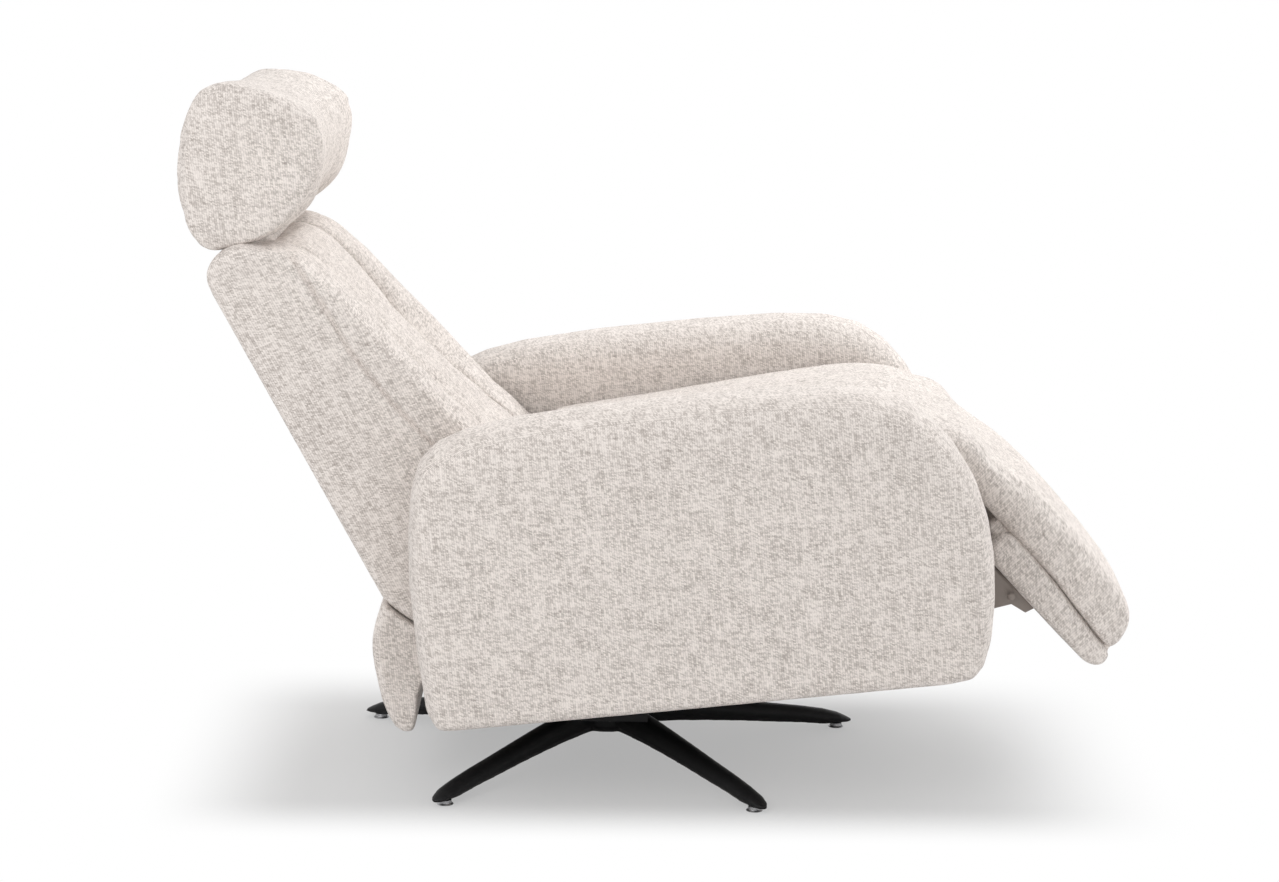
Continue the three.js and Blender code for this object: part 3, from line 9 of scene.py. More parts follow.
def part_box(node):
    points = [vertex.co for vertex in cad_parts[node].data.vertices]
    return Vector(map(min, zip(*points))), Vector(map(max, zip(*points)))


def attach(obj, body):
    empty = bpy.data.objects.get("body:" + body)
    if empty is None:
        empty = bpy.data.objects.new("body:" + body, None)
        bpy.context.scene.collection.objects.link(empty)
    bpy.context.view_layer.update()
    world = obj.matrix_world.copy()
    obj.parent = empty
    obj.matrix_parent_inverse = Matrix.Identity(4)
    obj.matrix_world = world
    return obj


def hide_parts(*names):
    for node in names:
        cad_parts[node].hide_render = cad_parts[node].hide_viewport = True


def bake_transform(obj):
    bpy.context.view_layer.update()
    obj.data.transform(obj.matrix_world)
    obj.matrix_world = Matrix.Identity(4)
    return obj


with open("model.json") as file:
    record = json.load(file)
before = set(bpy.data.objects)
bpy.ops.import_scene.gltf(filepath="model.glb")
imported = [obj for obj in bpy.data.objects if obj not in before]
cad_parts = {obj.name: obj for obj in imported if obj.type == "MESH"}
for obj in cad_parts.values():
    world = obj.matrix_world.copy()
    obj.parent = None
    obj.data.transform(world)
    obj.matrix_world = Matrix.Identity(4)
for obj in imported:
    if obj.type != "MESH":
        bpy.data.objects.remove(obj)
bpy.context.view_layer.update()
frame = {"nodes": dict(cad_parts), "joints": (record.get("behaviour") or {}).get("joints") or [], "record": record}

# ----------------------------------------------------------------------------------------------------------
# The studio: a photographer's table with a pale sweep. One broad soft lamp hangs beyond the chair, a
# second stands in front of it and a third on the camera's side, and there is light from all round. The sweep shows
# white to the camera. Under the chair the camera sees a painted shadow: a soft-edged area of glowing grey mixed
# into the floor, whose lit share still takes the chair's real shadow.
CAMERA_PLACE = (-3.8842, 0.07615, 1.208)
CAMERA_PITCH = math.radians(11.176)
CAMERA_YAW = math.radians(0.725)
CAMERA_ROLL = math.radians(0.925)
FILM_WIDTH = 36.0
LENS = 79.72

scene = bpy.context.scene
scene.view_settings.view_transform = "Standard"

ahead = Vector((
    math.cos(CAMERA_YAW) * math.cos(CAMERA_PITCH),
    -math.sin(CAMERA_YAW) * math.cos(CAMERA_PITCH),
    -math.sin(CAMERA_PITCH),
))
level_right = ahead.cross(Vector((0, 0, 1))).normalized()
level_up = level_right.cross(ahead)
right = level_right * math.cos(CAMERA_ROLL) + level_up * math.sin(CAMERA_ROLL)
up = right.cross(ahead)
bpy.ops.object.camera_add()
camera = bpy.context.object
camera.matrix_world = Matrix.Translation(CAMERA_PLACE) @ Matrix((right, up, -ahead)).transposed().to_4x4()
camera.data.sensor_width = FILM_WIDTH
camera.data.lens = LENS
scene.camera = camera


class Wire:
    """One socket of a material's node tree, written as a number in sums."""

    def __init__(self, tree, socket):
        self.tree = tree
        self.socket = socket

    def node(self, kind, settings=None, values=None, out=0):
        made = self.tree.nodes.new(kind)
        for name, value in (settings or {}).items():
            setattr(made, name, value)
        for name, value in (values or {}).items():
            if isinstance(value, Wire):
                self.tree.links.new(value.socket, made.inputs[name])
            else:
                made.inputs[name].default_value = value
        return Wire(self.tree, made.outputs[out])

    def sum(self, operation, *others):
        values = {0: self}
        values.update({place + 1: other for place, other in enumerate(others)})
        return self.node("ShaderNodeMath", {"operation": operation}, values)

    def __add__(self, other):
        return self.sum("ADD", other)

    def __radd__(self, other):
        return self.sum("ADD", other)

    def __sub__(self, other):
        return self.sum("SUBTRACT", other)

    def __rsub__(self, other):
        return (self * -1) + other

    def __mul__(self, other):
        return self.sum("MULTIPLY", other)

    def __rmul__(self, other):
        return self.sum("MULTIPLY", other)

    def __truediv__(self, other):
        return self.sum("DIVIDE", other)

    def __gt__(self, other):
        return self.sum("GREATER_THAN", other)

    def __abs__(self):
        return self.sum("ABSOLUTE")

    def clipped(self, low=0.0, high=1.0):
        return self.sum("MAXIMUM", low).sum("MINIMUM", high)

    def eased(self, start, end):
        """0 before start, 1 past end, and a smooth rise between them."""
        share = ((self - start) / (end - start)).clipped()
        return share * share * (3 - 2 * share)

    def between(self, share, first, second):
        """A colour that goes from the first to the second."""
        values = {0: share, 6: (*first, 1), 7: (*second, 1)}
        return self.node("ShaderNodeMix", {"data_type": "RGBA"}, values, out=2)


def blank_material(name):
    """A new material, its shader node and a wire to start sums from."""
    material = bpy.data.materials.new(name)
    material.use_nodes = True
    tree = material.node_tree
    return material, tree.nodes["Principled BSDF"], Wire(tree, None)


def feed(wire, shader, name):
    wire.tree.links.new(wire.socket, shader.inputs[name])


FLOOR_HALF = 6.0
FLOOR_DROP = 0.0005
FLOOR_TONE = 0.80
# The painted shadow under the chair: its grey, its share of the floor's colour as the camera sees it, and where it
# fades out along y and along x.
PAINTED_SHADOW_TONE = 0.64
PAINTED_SHADOW_SHARE = 0.62
PAINTED_SHADOW_REAR = (0.69, 0.46)
PAINTED_SHADOW_FRONT = (-0.72, -0.41)
PAINTED_SHADOW_NEAR = (-0.425, -0.26)
PAINTED_SHADOW_FAR = (0.40, 0.15)

bpy.ops.mesh.primitive_plane_add(size=2 * FLOOR_HALF, location=(0, 0, -FLOOR_DROP))
floor = bpy.context.object
floor.name = "floor"
floor_finish, floor_shader, wire = blank_material("floor")
floor_shader.inputs["Base Color"].default_value = (FLOOR_TONE, FLOOR_TONE, FLOOR_TONE, 1)
floor_shader.inputs["Roughness"].default_value = 0.9
floor_shader.inputs["Specular IOR Level"].default_value = 0.1
place = wire.node("ShaderNodeTexCoord", out=3)
floor_x = wire.node("ShaderNodeSeparateXYZ", {}, {"Vector": place}, out=0)
floor_y = wire.node("ShaderNodeSeparateXYZ", {}, {"Vector": place}, out=1)
# Where the painted shadow lies: 1 under the chair, easing to 0 beyond it.
painted_shadow_mask = (
    floor_y.eased(*PAINTED_SHADOW_REAR) * floor_y.eased(*PAINTED_SHADOW_FRONT)
    * floor_x.eased(*PAINTED_SHADOW_NEAR) * floor_x.eased(*PAINTED_SHADOW_FAR)
)
camera_ray = wire.node("ShaderNodeLightPath", out=0)
painted_shadow_colour = (PAINTED_SHADOW_TONE, PAINTED_SHADOW_TONE, PAINTED_SHADOW_TONE, 1)
# The painted shadow: a glowing grey that the camera sees mixed into the floor's lit colour under the chair, and
# white beyond it.
grey = wire.node("ShaderNodeEmission", {}, {"Color": painted_shadow_colour, "Strength": 1.0})
white = wire.node("ShaderNodeEmission", {}, {"Color": (1, 1, 1, 1), "Strength": 1.0})
lit = Wire(wire.tree, floor_shader.outputs[0])
floor_with_painted_shadow = wire.node("ShaderNodeMixShader", {}, {0: camera_ray * PAINTED_SHADOW_SHARE, 1: lit, 2: grey})
shown = wire.node("ShaderNodeMixShader", {}, {0: (1 - painted_shadow_mask) * camera_ray, 1: floor_with_painted_shadow, 2: white})
wire.tree.links.new(shown.socket, wire.tree.nodes["Material Output"].inputs["Surface"])
floor.data.materials.append(floor_finish)

ROUND_LIGHT = 0.83
world = bpy.data.worlds.new("studio")
world.use_nodes = True
scene.world = world
sky = Wire(world.node_tree, None)
seen = sky.node("ShaderNodeLightPath", out=0)
rays = seen.socket.node
for kind in ("Is Glossy Ray", "Is Transmission Ray"):
    seen = seen.sum("MAXIMUM", Wire(world.node_tree, rays.outputs[kind]))
background = world.node_tree.nodes["Background"]
background.inputs["Color"].default_value = (1, 1, 1, 1)
feed(seen * (1 - ROUND_LIGHT) + ROUND_LIGHT, background, "Strength")

# Each lamp's name, place, aim, width in metres and power in watts.
LAMPS = (
    ("overhead_lamp", (1.9, -0.9, 2.7), (0, 0.1, 0.5), 2.2, 47),
    ("front_lamp", (0.6, -3.0, 1.9), (0, 0.2, 0.6), 1.6, 30),
    ("side_lamp", (-2.2, 1.3, 1.7), (0, 0.45, 0.65), 1.2, 18),
)
for name, lamp_place, aim, width, watts in LAMPS:
    bpy.ops.object.light_add(type="AREA", location=lamp_place)
    lamp = bpy.context.object
    lamp.name = name
    lamp.data.shape = "DISK"
    lamp.data.size = width
    lamp.data.energy = watts
    lamp.rotation_euler = (Vector(aim) - Vector(lamp_place)).to_track_quat("-Z", "Y").to_euler()

# ----------------------------------------------------------------------------------------------------------
# Star base: five blade-like legs and a hub cast in one piece of aluminium, coated matte black. The casting
# has soft edges everywhere, so its net is evened a little at each edge.


def alone(piece):
    """Selects one object and nothing else."""
    bpy.ops.object.select_all(action="DESELECT")
    piece.select_set(True)
    bpy.context.view_layer.objects.active = piece


def copy_of(name, *nodes):
    """One merged copy of some of the frame's solids, the start of a finished piece."""
    bpy.ops.object.select_all(action="DESELECT")
    for node in nodes:
        source = frame["nodes"][node]
        made = source.copy()
        made.data = source.data.copy()
        made.parent = None
        made.matrix_world = Matrix()
        scene.collection.objects.link(made)
        made.hide_render = False
        made.hide_set(False)
        made.select_set(True)
        bpy.context.view_layer.objects.active = made
    if len(nodes) > 1:
        bpy.ops.object.join()
    piece = bpy.context.view_layer.objects.active
    piece.name = name
    piece.data.materials.clear()
    bpy.ops.object.mode_set(mode="EDIT")
    bpy.ops.mesh.select_all(action="SELECT")
    bpy.ops.mesh.remove_doubles(threshold=0.00001)
    bpy.ops.object.mode_set(mode="OBJECT")
    return piece


def use(piece, kind, **settings):
    """Adds a modifier to a piece with its settings and applies it."""
    alone(piece)
    modifier = piece.modifiers.new(kind.lower(), kind)
    for name, value in settings.items():
        setattr(modifier, name, value)
    bpy.ops.object.modifier_apply(modifier=modifier.name)


def spots_of(piece, what="co"):
    """The places or the normals of a piece's points, one row each."""
    rows = numpy.empty((len(piece.data.vertices), 3))
    piece.data.vertices.foreach_get(what, rows.ravel())
    return rows


def set_spots(piece, rows):
    piece.data.vertices.foreach_set("co", rows.ravel())
    piece.data.update()


def net_of(piece):
    """Each edge of a piece's net, once from either end, and how many edges meet at each point."""
    edges = numpy.empty((len(piece.data.edges), 2), dtype=numpy.int64)
    piece.data.edges.foreach_get("vertices", edges.ravel())
    ends = numpy.concatenate((edges[:, 0], edges[:, 1]))
    others = numpy.concatenate((edges[:, 1], edges[:, 0]))
    return ends, others, numpy.bincount(ends, minlength=len(piece.data.vertices))[:, None]


def neighbours(rows, net):
    """The middle of each point's neighbours in a net, for places or for other numbers in rows."""
    ends, others, shares = net
    sums = [
        numpy.bincount(ends, weights=rows[others, column], minlength=len(rows))
        for column in range(rows.shape[1])
    ]
    return numpy.stack(sums, axis=1) / shares


EASE_IN = 0.5
EASE_OUT = -0.53


def evened(piece, voxel, rounds):
    """Fuses a piece's skins into one even net and smooths out its facets. Each inward pass is followed by a
    slightly stronger outward one, so that corners keep their place."""
    use(piece, "REMESH", mode="VOXEL", voxel_size=voxel, use_smooth_shade=True)
    net = net_of(piece)
    rows = spots_of(piece)
    for pull in (EASE_IN, EASE_OUT) * rounds:
        rows = rows + pull * (neighbours(rows, net) - rows)
    set_spots(piece, rows)


def fitted(piece, body, slot, material, *nodes):
    """Puts a finished piece on its body in place of the solids that it stands for."""
    piece.data.materials.clear()
    piece.data.materials.append(material)
    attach(piece, body)
    if nodes:
        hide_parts(*nodes)


PEEL_SCALE = 900.0
PEEL_HEIGHT = 0.0002
PATINA_SCALE = 14.0
PATINA_ROUGHNESS = 0.16
PATINA_LIGHTER = 1.3
PATINA_HAZE = 0.004


def coated(name, colour, roughness, metallic, grain, gloss=0.5):
    """Sprayed or plated metal: a fine orange peel, and gloss that varies where hands and dust have been."""
    material, shader, wire = blank_material(name)
    place = wire.node("ShaderNodeTexCoord", out=3)
    peel = wire.node("ShaderNodeTexNoise", {}, {"Vector": place, "Scale": PEEL_SCALE, "Detail": 2.0})
    cloud = wire.node("ShaderNodeTexNoise", {}, {"Vector": place, "Scale": PATINA_SCALE, "Detail": 4.0})
    lighter = tuple(channel * PATINA_LIGHTER + PATINA_HAZE for channel in colour)
    feed(wire.between(cloud.clipped(), colour, lighter), shader, "Base Color")
    shader.inputs["Metallic"].default_value = metallic
    shader.inputs["Specular IOR Level"].default_value = gloss
    roughest = cloud * PATINA_ROUGHNESS + (roughness - PATINA_ROUGHNESS / 2)
    feed(roughest.clipped(), shader, "Roughness")
    bump = wire.node("ShaderNodeBump", {}, {"Strength": grain, "Distance": PEEL_HEIGHT, "Height": peel})
    feed(bump, shader, "Normal")
    return material


CASTING_VOXEL = 0.0025
CASTING_ROUNDS = 3
black_coat = coated("black_coat", (0.006, 0.006, 0.0065), 0.5, 0.0, 0.25, gloss=0.2)
star_base = copy_of("cast_star_base", "star_base")
evened(star_base, CASTING_VOXEL, CASTING_ROUNDS)
fitted(star_base, "base", "black_coat", black_coat, "star_base")

# ----------------------------------------------------------------------------------------------------------
# Glides: turned steel feet pressed under the five leg tips. Each is a low disc with a stepped waist, so that
# a thin pale rim shows where it meets the floor.
GLIDE_RADIUS = 0.0115
GLIDE_WAIST = 0.0085
GLIDE_RIM = 0.0022
GLIDE_BREAK = 0.0006
bright_steel = coated("bright_steel", (0.34, 0.34, 0.35), 0.45, 1.0, 0.05)
for number in range(1, 6):
    low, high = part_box(f"glide_{number}")
    bpy.ops.object.select_all(action="DESELECT")
    bpy.ops.mesh.primitive_circle_add(
        vertices=48, radius=GLIDE_RADIUS, fill_type="NGON",
        location=((low[0] + high[0]) / 2, (low[1] + high[1]) / 2, low[2]),
    )
    glide = bpy.context.object
    glide.name = f"turned_glide_{number}"
    bpy.ops.object.mode_set(mode="EDIT")
    bpy.ops.mesh.select_all(action="SELECT")
    bpy.ops.mesh.extrude_region_move(TRANSFORM_OT_translate={"value": (0, 0, GLIDE_RIM)})
    bpy.ops.transform.resize(value=(GLIDE_WAIST / GLIDE_RADIUS, GLIDE_WAIST / GLIDE_RADIUS, 1))
    bpy.ops.mesh.extrude_region_move(TRANSFORM_OT_translate={"value": (0, 0, high[2] - low[2] - GLIDE_RIM)})
    bpy.ops.mesh.select_all(action="SELECT")
    bpy.ops.mesh.normals_make_consistent(inside=False)
    bpy.ops.object.mode_set(mode="OBJECT")
    bpy.ops.object.transform_apply(location=True)
    use(glide, "BEVEL", width=GLIDE_BREAK, segments=3, limit_method="ANGLE")
    bpy.ops.object.shade_smooth_by_angle(angle=math.radians(40))
    fitted(glide, "base", "bright_steel", bright_steel, f"glide_{number}")

# ----------------------------------------------------------------------------------------------------------
# Turntable, frame, links and gas spring: tubes, pressed plates and pins, sprayed warm grey under the cover,
# with a black cylinder and a bright rod. Each keeps its solid's shape, with smooth round faces and broken
# edges.
EDGE_BREAK = 0.0006


def machined(node, body, slot, material):
    piece = copy_of(f"finished_{node}", node)
    use(piece, "BEVEL", width=EDGE_BREAK, segments=2, limit_method="ANGLE", angle_limit=math.radians(50))
    bpy.ops.object.shade_smooth_by_angle(angle=math.radians(35))
    fitted(piece, body, slot, material, node)


grey_steel = coated("grey_steel", (0.215, 0.185, 0.165), 0.5, 0.1, 0.25, gloss=0.35)
finishes = {
    "black_coat": black_coat,
    "grey_steel": grey_steel,
    "bright_steel": bright_steel,
    "nylon": coated("nylon", (0.03, 0.03, 0.032), 0.55, 0.0, 0.1),
    "spring_steel": coated("spring_steel", (0.32, 0.32, 0.33), 0.35, 1.0, 0.1),
}
slots = {part["node"]: part["material_slot"] for part in frame["record"]["subparts"]}
for body, nodes in frame["record"]["behaviour"]["bodies"].items():
    for node in nodes:
        if slots[node] in finishes and node != "star_base" and not node.startswith("glide"):
            machined(node, body, slots[node], finishes[slots[node]])

# ----------------------------------------------------------------------------------------------------------
# Footrest rivets: domed heads on the outer faces of the two brackets, where the cross tube is riveted
# between them. They are sprayed with the brackets, and the near one shows beyond the arm.
RIVET_FORWARD = 0.183
RIVET_UP = -0.0544
RIVET_RADIUS = 0.0052
RIVET_DOME = 0.0024
FOOTREST_LEAN = -46.3
pivots = {joint["name"]: Vector(joint["pos_m"]) for joint in frame["joints"] if "pos_m" in joint}


def leaned(pivot, degrees, forward, rise):
    """A place measured forward and up from a pivot, in a group that leans back by some degrees."""
    lean = math.radians(degrees)
    return pivots[pivot] + Vector((
        0,
        rise * math.sin(lean) - forward * math.cos(lean),
        forward * math.sin(lean) + rise * math.cos(lean),
    ))


for side, sign in (("right", -1), ("left", 1)):
    low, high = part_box(f"footrest_bracket_{side}")
    face = leaned("footrest", FOOTREST_LEAN, RIVET_FORWARD, RIVET_UP)
    face.x = low[0] if sign < 0 else high[0]
    bpy.ops.object.select_all(action="DESELECT")
    bpy.ops.mesh.primitive_uv_sphere_add(segments=32, ring_count=16, radius=RIVET_RADIUS, location=face)
    rivet = bpy.context.object
    rivet.name = f"bracket_rivet_{side}"
    bpy.ops.object.mode_set(mode="EDIT")
    bpy.ops.mesh.select_all(action="SELECT")
    bpy.ops.transform.resize(value=(RIVET_DOME / RIVET_RADIUS, 1, 1))
    bpy.ops.object.mode_set(mode="OBJECT")
    bpy.ops.object.transform_apply(location=True)
    bpy.ops.object.shade_smooth()
    fitted(rivet, "footrest", "grey_steel", grey_steel)

# ----------------------------------------------------------------------------------------------------------
# The cover: a thick heathered weave with upright ribs of slanting stitches, in pale beige flecked with
# taupe, and the grooves between ribs and stitches darkened as painted shade. The pattern lies square to each
# panel, so its threads run across and along it, and on the ends along and up.
RIB = 0.0030
STITCH = 0.0018
SLANT = 0.7
RIB_ROUND = 0.35
STITCH_ROUND = 0.65
WAVER_SCALE = 55.0
WAVER = 0.0016
FIBRE_SCALE = 430.0
STREAK_DOWN_SCALE = 42
STREAK_OVER_SCALE = 48
SLUB_LONG_SCALE = 24
SLUB_THICK_SCALE = 125
RIB_JUMP = 7.31
ROW_JUMP = 3.17
CLOUD_SCALE = 15.0
THREAD_LIGHT = (0.845, 0.783, 0.738)
THREAD_DARK = (0.325, 0.284, 0.257)
LIGHT_SHARE = 0.61
HILL_HEIGHT = 0.8
STITCH_HEIGHT = 0.25
WEAVE_DEPTH = 0.0007


def woven(name, lean, end_lean=None):
    """The cover's material, with its threads turned by the lean of the panel in degrees."""
    material, shader, wire = blank_material(name)
    place = wire.node("ShaderNodeTexCoord", out=3)
    facing = wire.node("ShaderNodeTexCoord", out=1)

    def turned(vector, angle):
        turn = {"rotation_type": "X_AXIS"}
        return wire.node("ShaderNodeVectorRotate", turn, {"Vector": vector, "Angle": math.radians(angle)})

    def part(vector, number):
        return wire.node("ShaderNodeSeparateXYZ", {}, {"Vector": vector}, out=number)

    def noise(vector, scale, detail, **settings):
        values = {"Vector": vector, "Scale": scale, "Detail": detail}
        return wire.node("ShaderNodeTexNoise", settings, values)

    def pair(first, second):
        return wire.node("ShaderNodeCombineXYZ", {}, {0: first, 1: second})

    waver = noise(place, WAVER_SCALE, 1.0)
    panel = turned(place, lean)
    end = turned(place, lean if end_lean is None else end_lean)
    out_x, out_y, out_z = (abs(part(turned(facing, lean), number)) for number in range(3))
    on_end = out_x > out_y.sum("MAXIMUM", out_z)
    on_top = out_z > out_y
    across = part(place, 0)
    along = part(panel, 1) * on_top + part(panel, 2) * (1 - on_top)
    across = across + (part(end, 1) - across) * on_end + waver * WAVER
    along = along + (part(end, 2) - along) * on_end + waver * WAVER

    ribs = across / RIB
    from_middle = abs(ribs.sum("FRACT") - 0.5) * 2
    rows = along / STITCH - ribs.sum("FRACT") * SLANT
    from_row = abs(rows.sum("FRACT") - 0.5) * 2
    # The threads' relief: 1 on a stitch's crown and lower towards the grooves. It shapes the bump, and in the
    # colour it darkens the grooves as painted shade.
    hill_and_groove_shade = 1 - from_middle * from_middle * RIB_ROUND - from_row * from_row * STITCH_ROUND
    rib_number = ribs.sum("FLOOR")
    row_number = rows.sum("FLOOR")
    white_noise = {"noise_dimensions": "2D"}
    stitch = wire.node("ShaderNodeTexWhiteNoise", white_noise, {"Vector": pair(rib_number, row_number)})
    fibre = noise(place, FIBRE_SCALE, 2.0)

    def flat_noise(first, second):
        return noise(pair(first, second), 1.0, 2.0, noise_dimensions="2D")

    down = flat_noise(rib_number * RIB_JUMP, along * STREAK_DOWN_SCALE)
    over = flat_noise(across * STREAK_OVER_SCALE, row_number * ROW_JUMP)
    slub_over = flat_noise(across * SLUB_LONG_SCALE, along * SLUB_THICK_SCALE)
    slub_down = flat_noise(across * SLUB_THICK_SCALE, along * SLUB_LONG_SCALE)
    cloud = noise(place, CLOUD_SCALE, 2.0)
    # How much each layer lightens or darkens the thread, either side of its own middle. The thread-relief layer
    # (last in the list) darkens the grooves between ribs and stitches: painted shade, beside the bump that the
    # same relief gives.
    layers = (
        (stitch, 0.5, 0.64), (fibre, 0.5, 0.35), (down, 0.5, 0.48), (over, 0.5, 0.52),
        (slub_over, 0.5, 0.42), (slub_down, 0.5, 0.38), (cloud, 0.5, 0.24), (hill_and_groove_shade, 0.60, 0.90),
    )
    tone = LIGHT_SHARE
    for layer, middle, weight in layers:
        tone = (layer - middle) * weight + tone
    feed(wire.between(tone.clipped(), THREAD_DARK, THREAD_LIGHT), shader, "Base Color")
    shader.inputs["Roughness"].default_value = 0.95
    shader.inputs["Specular IOR Level"].default_value = 0.15
    shader.inputs["Sheen Weight"].default_value = 0.10
    shader.inputs["Sheen Roughness"].default_value = 0.6
    height = hill_and_groove_shade * HILL_HEIGHT + stitch * STITCH_HEIGHT
    bump = wire.node("ShaderNodeBump", {}, {"Strength": 0.7, "Distance": WEAVE_DEPTH, "Height": height})
    feed(bump, shader, "Normal")
    return material


# ----------------------------------------------------------------------------------------------------------
# Arms: deep foam pads over a timber box, with a flat outer face and a full round edge. The cover is drawn
# tight and stapled under the sole.
BODY_LEAN = 6.3
ARM_VOXEL = 0.0055
ARM_ROUNDS = 16
body_weave = woven("weave_body", BODY_LEAN)


def refined(piece):
    """Splits each facet of a piece's net in four and rounds the skin between them."""
    use(piece, "SUBSURF", levels=1, render_levels=1)


def mirrored(piece, name):
    """A copy of a piece for the chair's other side, with its own mesh and its faces turned outwards."""
    other = piece.copy()
    other.data = piece.data.copy()
    other.name = name
    scene.collection.objects.link(other)
    alone(other)
    bpy.ops.object.mode_set(mode="EDIT")
    bpy.ops.mesh.select_all(action="SELECT")
    bpy.ops.transform.resize(value=(-1, 1, 1), center_override=(0, 0, 0))
    bpy.ops.mesh.normals_make_consistent(inside=False)
    bpy.ops.object.mode_set(mode="OBJECT")
    return other


arm_right = copy_of("padded_arm_right", "arm_right")
evened(arm_right, ARM_VOXEL, ARM_ROUNDS)
refined(arm_right)
arm_left = mirrored(arm_right, "padded_arm_left")
for side, arm in (("right", arm_right), ("left", arm_left)):
    fitted(arm, "seat_body", "fabric", body_weave, f"arm_{side}")

# ----------------------------------------------------------------------------------------------------------
# Back: one cover over the shell and its two side bolsters, sewn from panels that meet in a seam down each
# side, with a recessed centre pad between the bolsters.
BACK_LEAN = 27.9
BACK_VOXEL = 0.0055
BACK_ROUNDS = 14
BACK_HALF = 0.232
SIDE_SEAM = [
    (-0.052, 0.475), (-0.0534, 0.4173), (-0.0468, 0.3477), (-0.0431, 0.272), (-0.025, 0.1807), (0.0, 0.1),
]
SEAM_DEPTH = 0.007
SEAM_REACH = 0.0065
SIDE_BAND = 0.03
SIDE_FADE = 0.02
TOP_CORNER = (-0.118, 0.470)
CORNER_REACH = 0.07
CORNER_FULLER = 0.013
back_weave = woven("weave_back", BACK_LEAN)


def pushed(piece, amounts):
    """Moves a piece's skin along its own normals, out or in, by one amount or by one for each point."""
    rows = spots_of(piece) + spots_of(piece, "normal") * numpy.reshape(amounts, (-1, 1))
    set_spots(piece, rows)


def spread(piece, amounts, rounds):
    """Shares each point's amount out over its neighbours, so that the skin moves without sharp steps."""
    net = net_of(piece)
    amounts = amounts[:, None]
    for _ in range(rounds):
        amounts = (amounts + neighbours(amounts, net)) / 2
    return amounts[:, 0]


def smooth_share(values):
    values = numpy.clip(values, 0, 1)
    return values * values * (3 - 2 * values)


def nearness(piece, line, reach):
    """How near each point of a piece is to a line seen from the side: 1 on it, and 0 beyond its reach."""
    flat = spots_of(piece)[:, 1:]
    nearest = numpy.full(len(flat), reach)
    for first, second in zip(line, line[1:]):
        start = numpy.array(first[1:])
        step = numpy.array(second[1:]) - start
        share = numpy.clip((flat - start) @ step / (step @ step), 0, 1)
        gap = numpy.linalg.norm(flat - start - share[:, None] * step, axis=1)
        nearest = numpy.minimum(nearest, gap)
    return smooth_share(1 - nearest / reach)


def near_spot(piece, pivot, lean, spot, reach):
    """How near each point of a piece is to a spot seen from the side: 1 on it, and 0 beyond its reach."""
    place = leaned(pivot, lean, *spot)
    return nearness(piece, [place, place + Vector((0, 0.001, 0))], reach)


SWELL_FRAMES = 12
SWELL_PRESSURE = 4.0


def stuffed(piece, draw_in, most):
    """Blows a cushion up like the foam in its cover: the skin starts a little smaller and swells as cloth
    under pressure. It moves straight out, by no more than a set amount, and is never drawn in."""
    pushed(piece, -draw_in)
    start = spots_of(piece)
    normals = spots_of(piece, "normal")
    alone(piece)
    cloth = piece.modifiers.new("cloth", "CLOTH")
    cloth.settings.use_pressure = True
    cloth.settings.uniform_pressure_force = SWELL_PRESSURE
    cloth.settings.effector_weights.gravity = 0
    cloth.point_cache.frame_end = SWELL_FRAMES
    for number in range(1, SWELL_FRAMES + 1):
        scene.frame_set(number)
    bpy.ops.object.modifier_apply(modifier=cloth.name)
    scene.frame_set(1)
    out = numpy.sum((spots_of(piece) - start) * normals, axis=1)
    set_spots(piece, start + normals * numpy.clip(out, 0, most)[:, None])


PAD_DRAW_IN = 0.0015
PAD_SWELL = 0.006
FRONT_RISES = (0.0, 0.046, 0.089, 0.158, 0.203, 0.260, 0.349, 0.386, 0.430, 0.470)
FRONT_STARTS = (0.010, 0.005, 0.0, -0.018, -0.031, -0.042, -0.047, -0.050, -0.052, -0.052)
FRONT_SHARES = (0.97, 0.72, 0.58, 0.60, 0.65, 0.70, 0.70, 0.68, 0.85, 1.0)
WAIST_RISE = 0.205
WAIST_REACH = 0.10
WAIST_DEPTH = 0.016
WAIST_INNER = 0.125
WAIST_OUTER = 0.195
WAIST_START = 0.06
WAIST_FADE = 0.05
FRONT_SPREAD = 10


def flattened(piece):
    """Draws the back's front face in towards its side seams, most over the small of the back, so that it
    runs nearly straight from the shoulders to the seat, and gives the bolsters a slight waist."""
    lean = math.radians(BACK_LEAN)
    rows = spots_of(piece)
    rear, top = (rows[:, 1:] - numpy.array(pivots["recline"][1:])).T
    forward = top * math.sin(lean) - rear * math.cos(lean)
    rise = rear * math.sin(lean) + top * math.cos(lean)
    start = numpy.interp(rise, FRONT_RISES, FRONT_STARTS)
    inward = 1 - numpy.interp(rise, FRONT_RISES, FRONT_SHARES)
    aside = numpy.abs(rows[:, 0])
    waist = smooth_share(1 - numpy.abs(rise - WAIST_RISE) / WAIST_REACH) * (forward > start)
    waist = waist * smooth_share((WAIST_OUTER - aside) / (WAIST_OUTER - WAIST_INNER))
    waist = waist * smooth_share((aside - WAIST_START) / WAIST_FADE)
    inward = inward * numpy.maximum(forward - start, 0) + waist * WAIST_DEPTH
    inward = spread(piece, inward, FRONT_SPREAD)
    rows[:, 1] += inward * math.cos(lean)
    rows[:, 2] -= inward * math.sin(lean)
    set_spots(piece, rows)


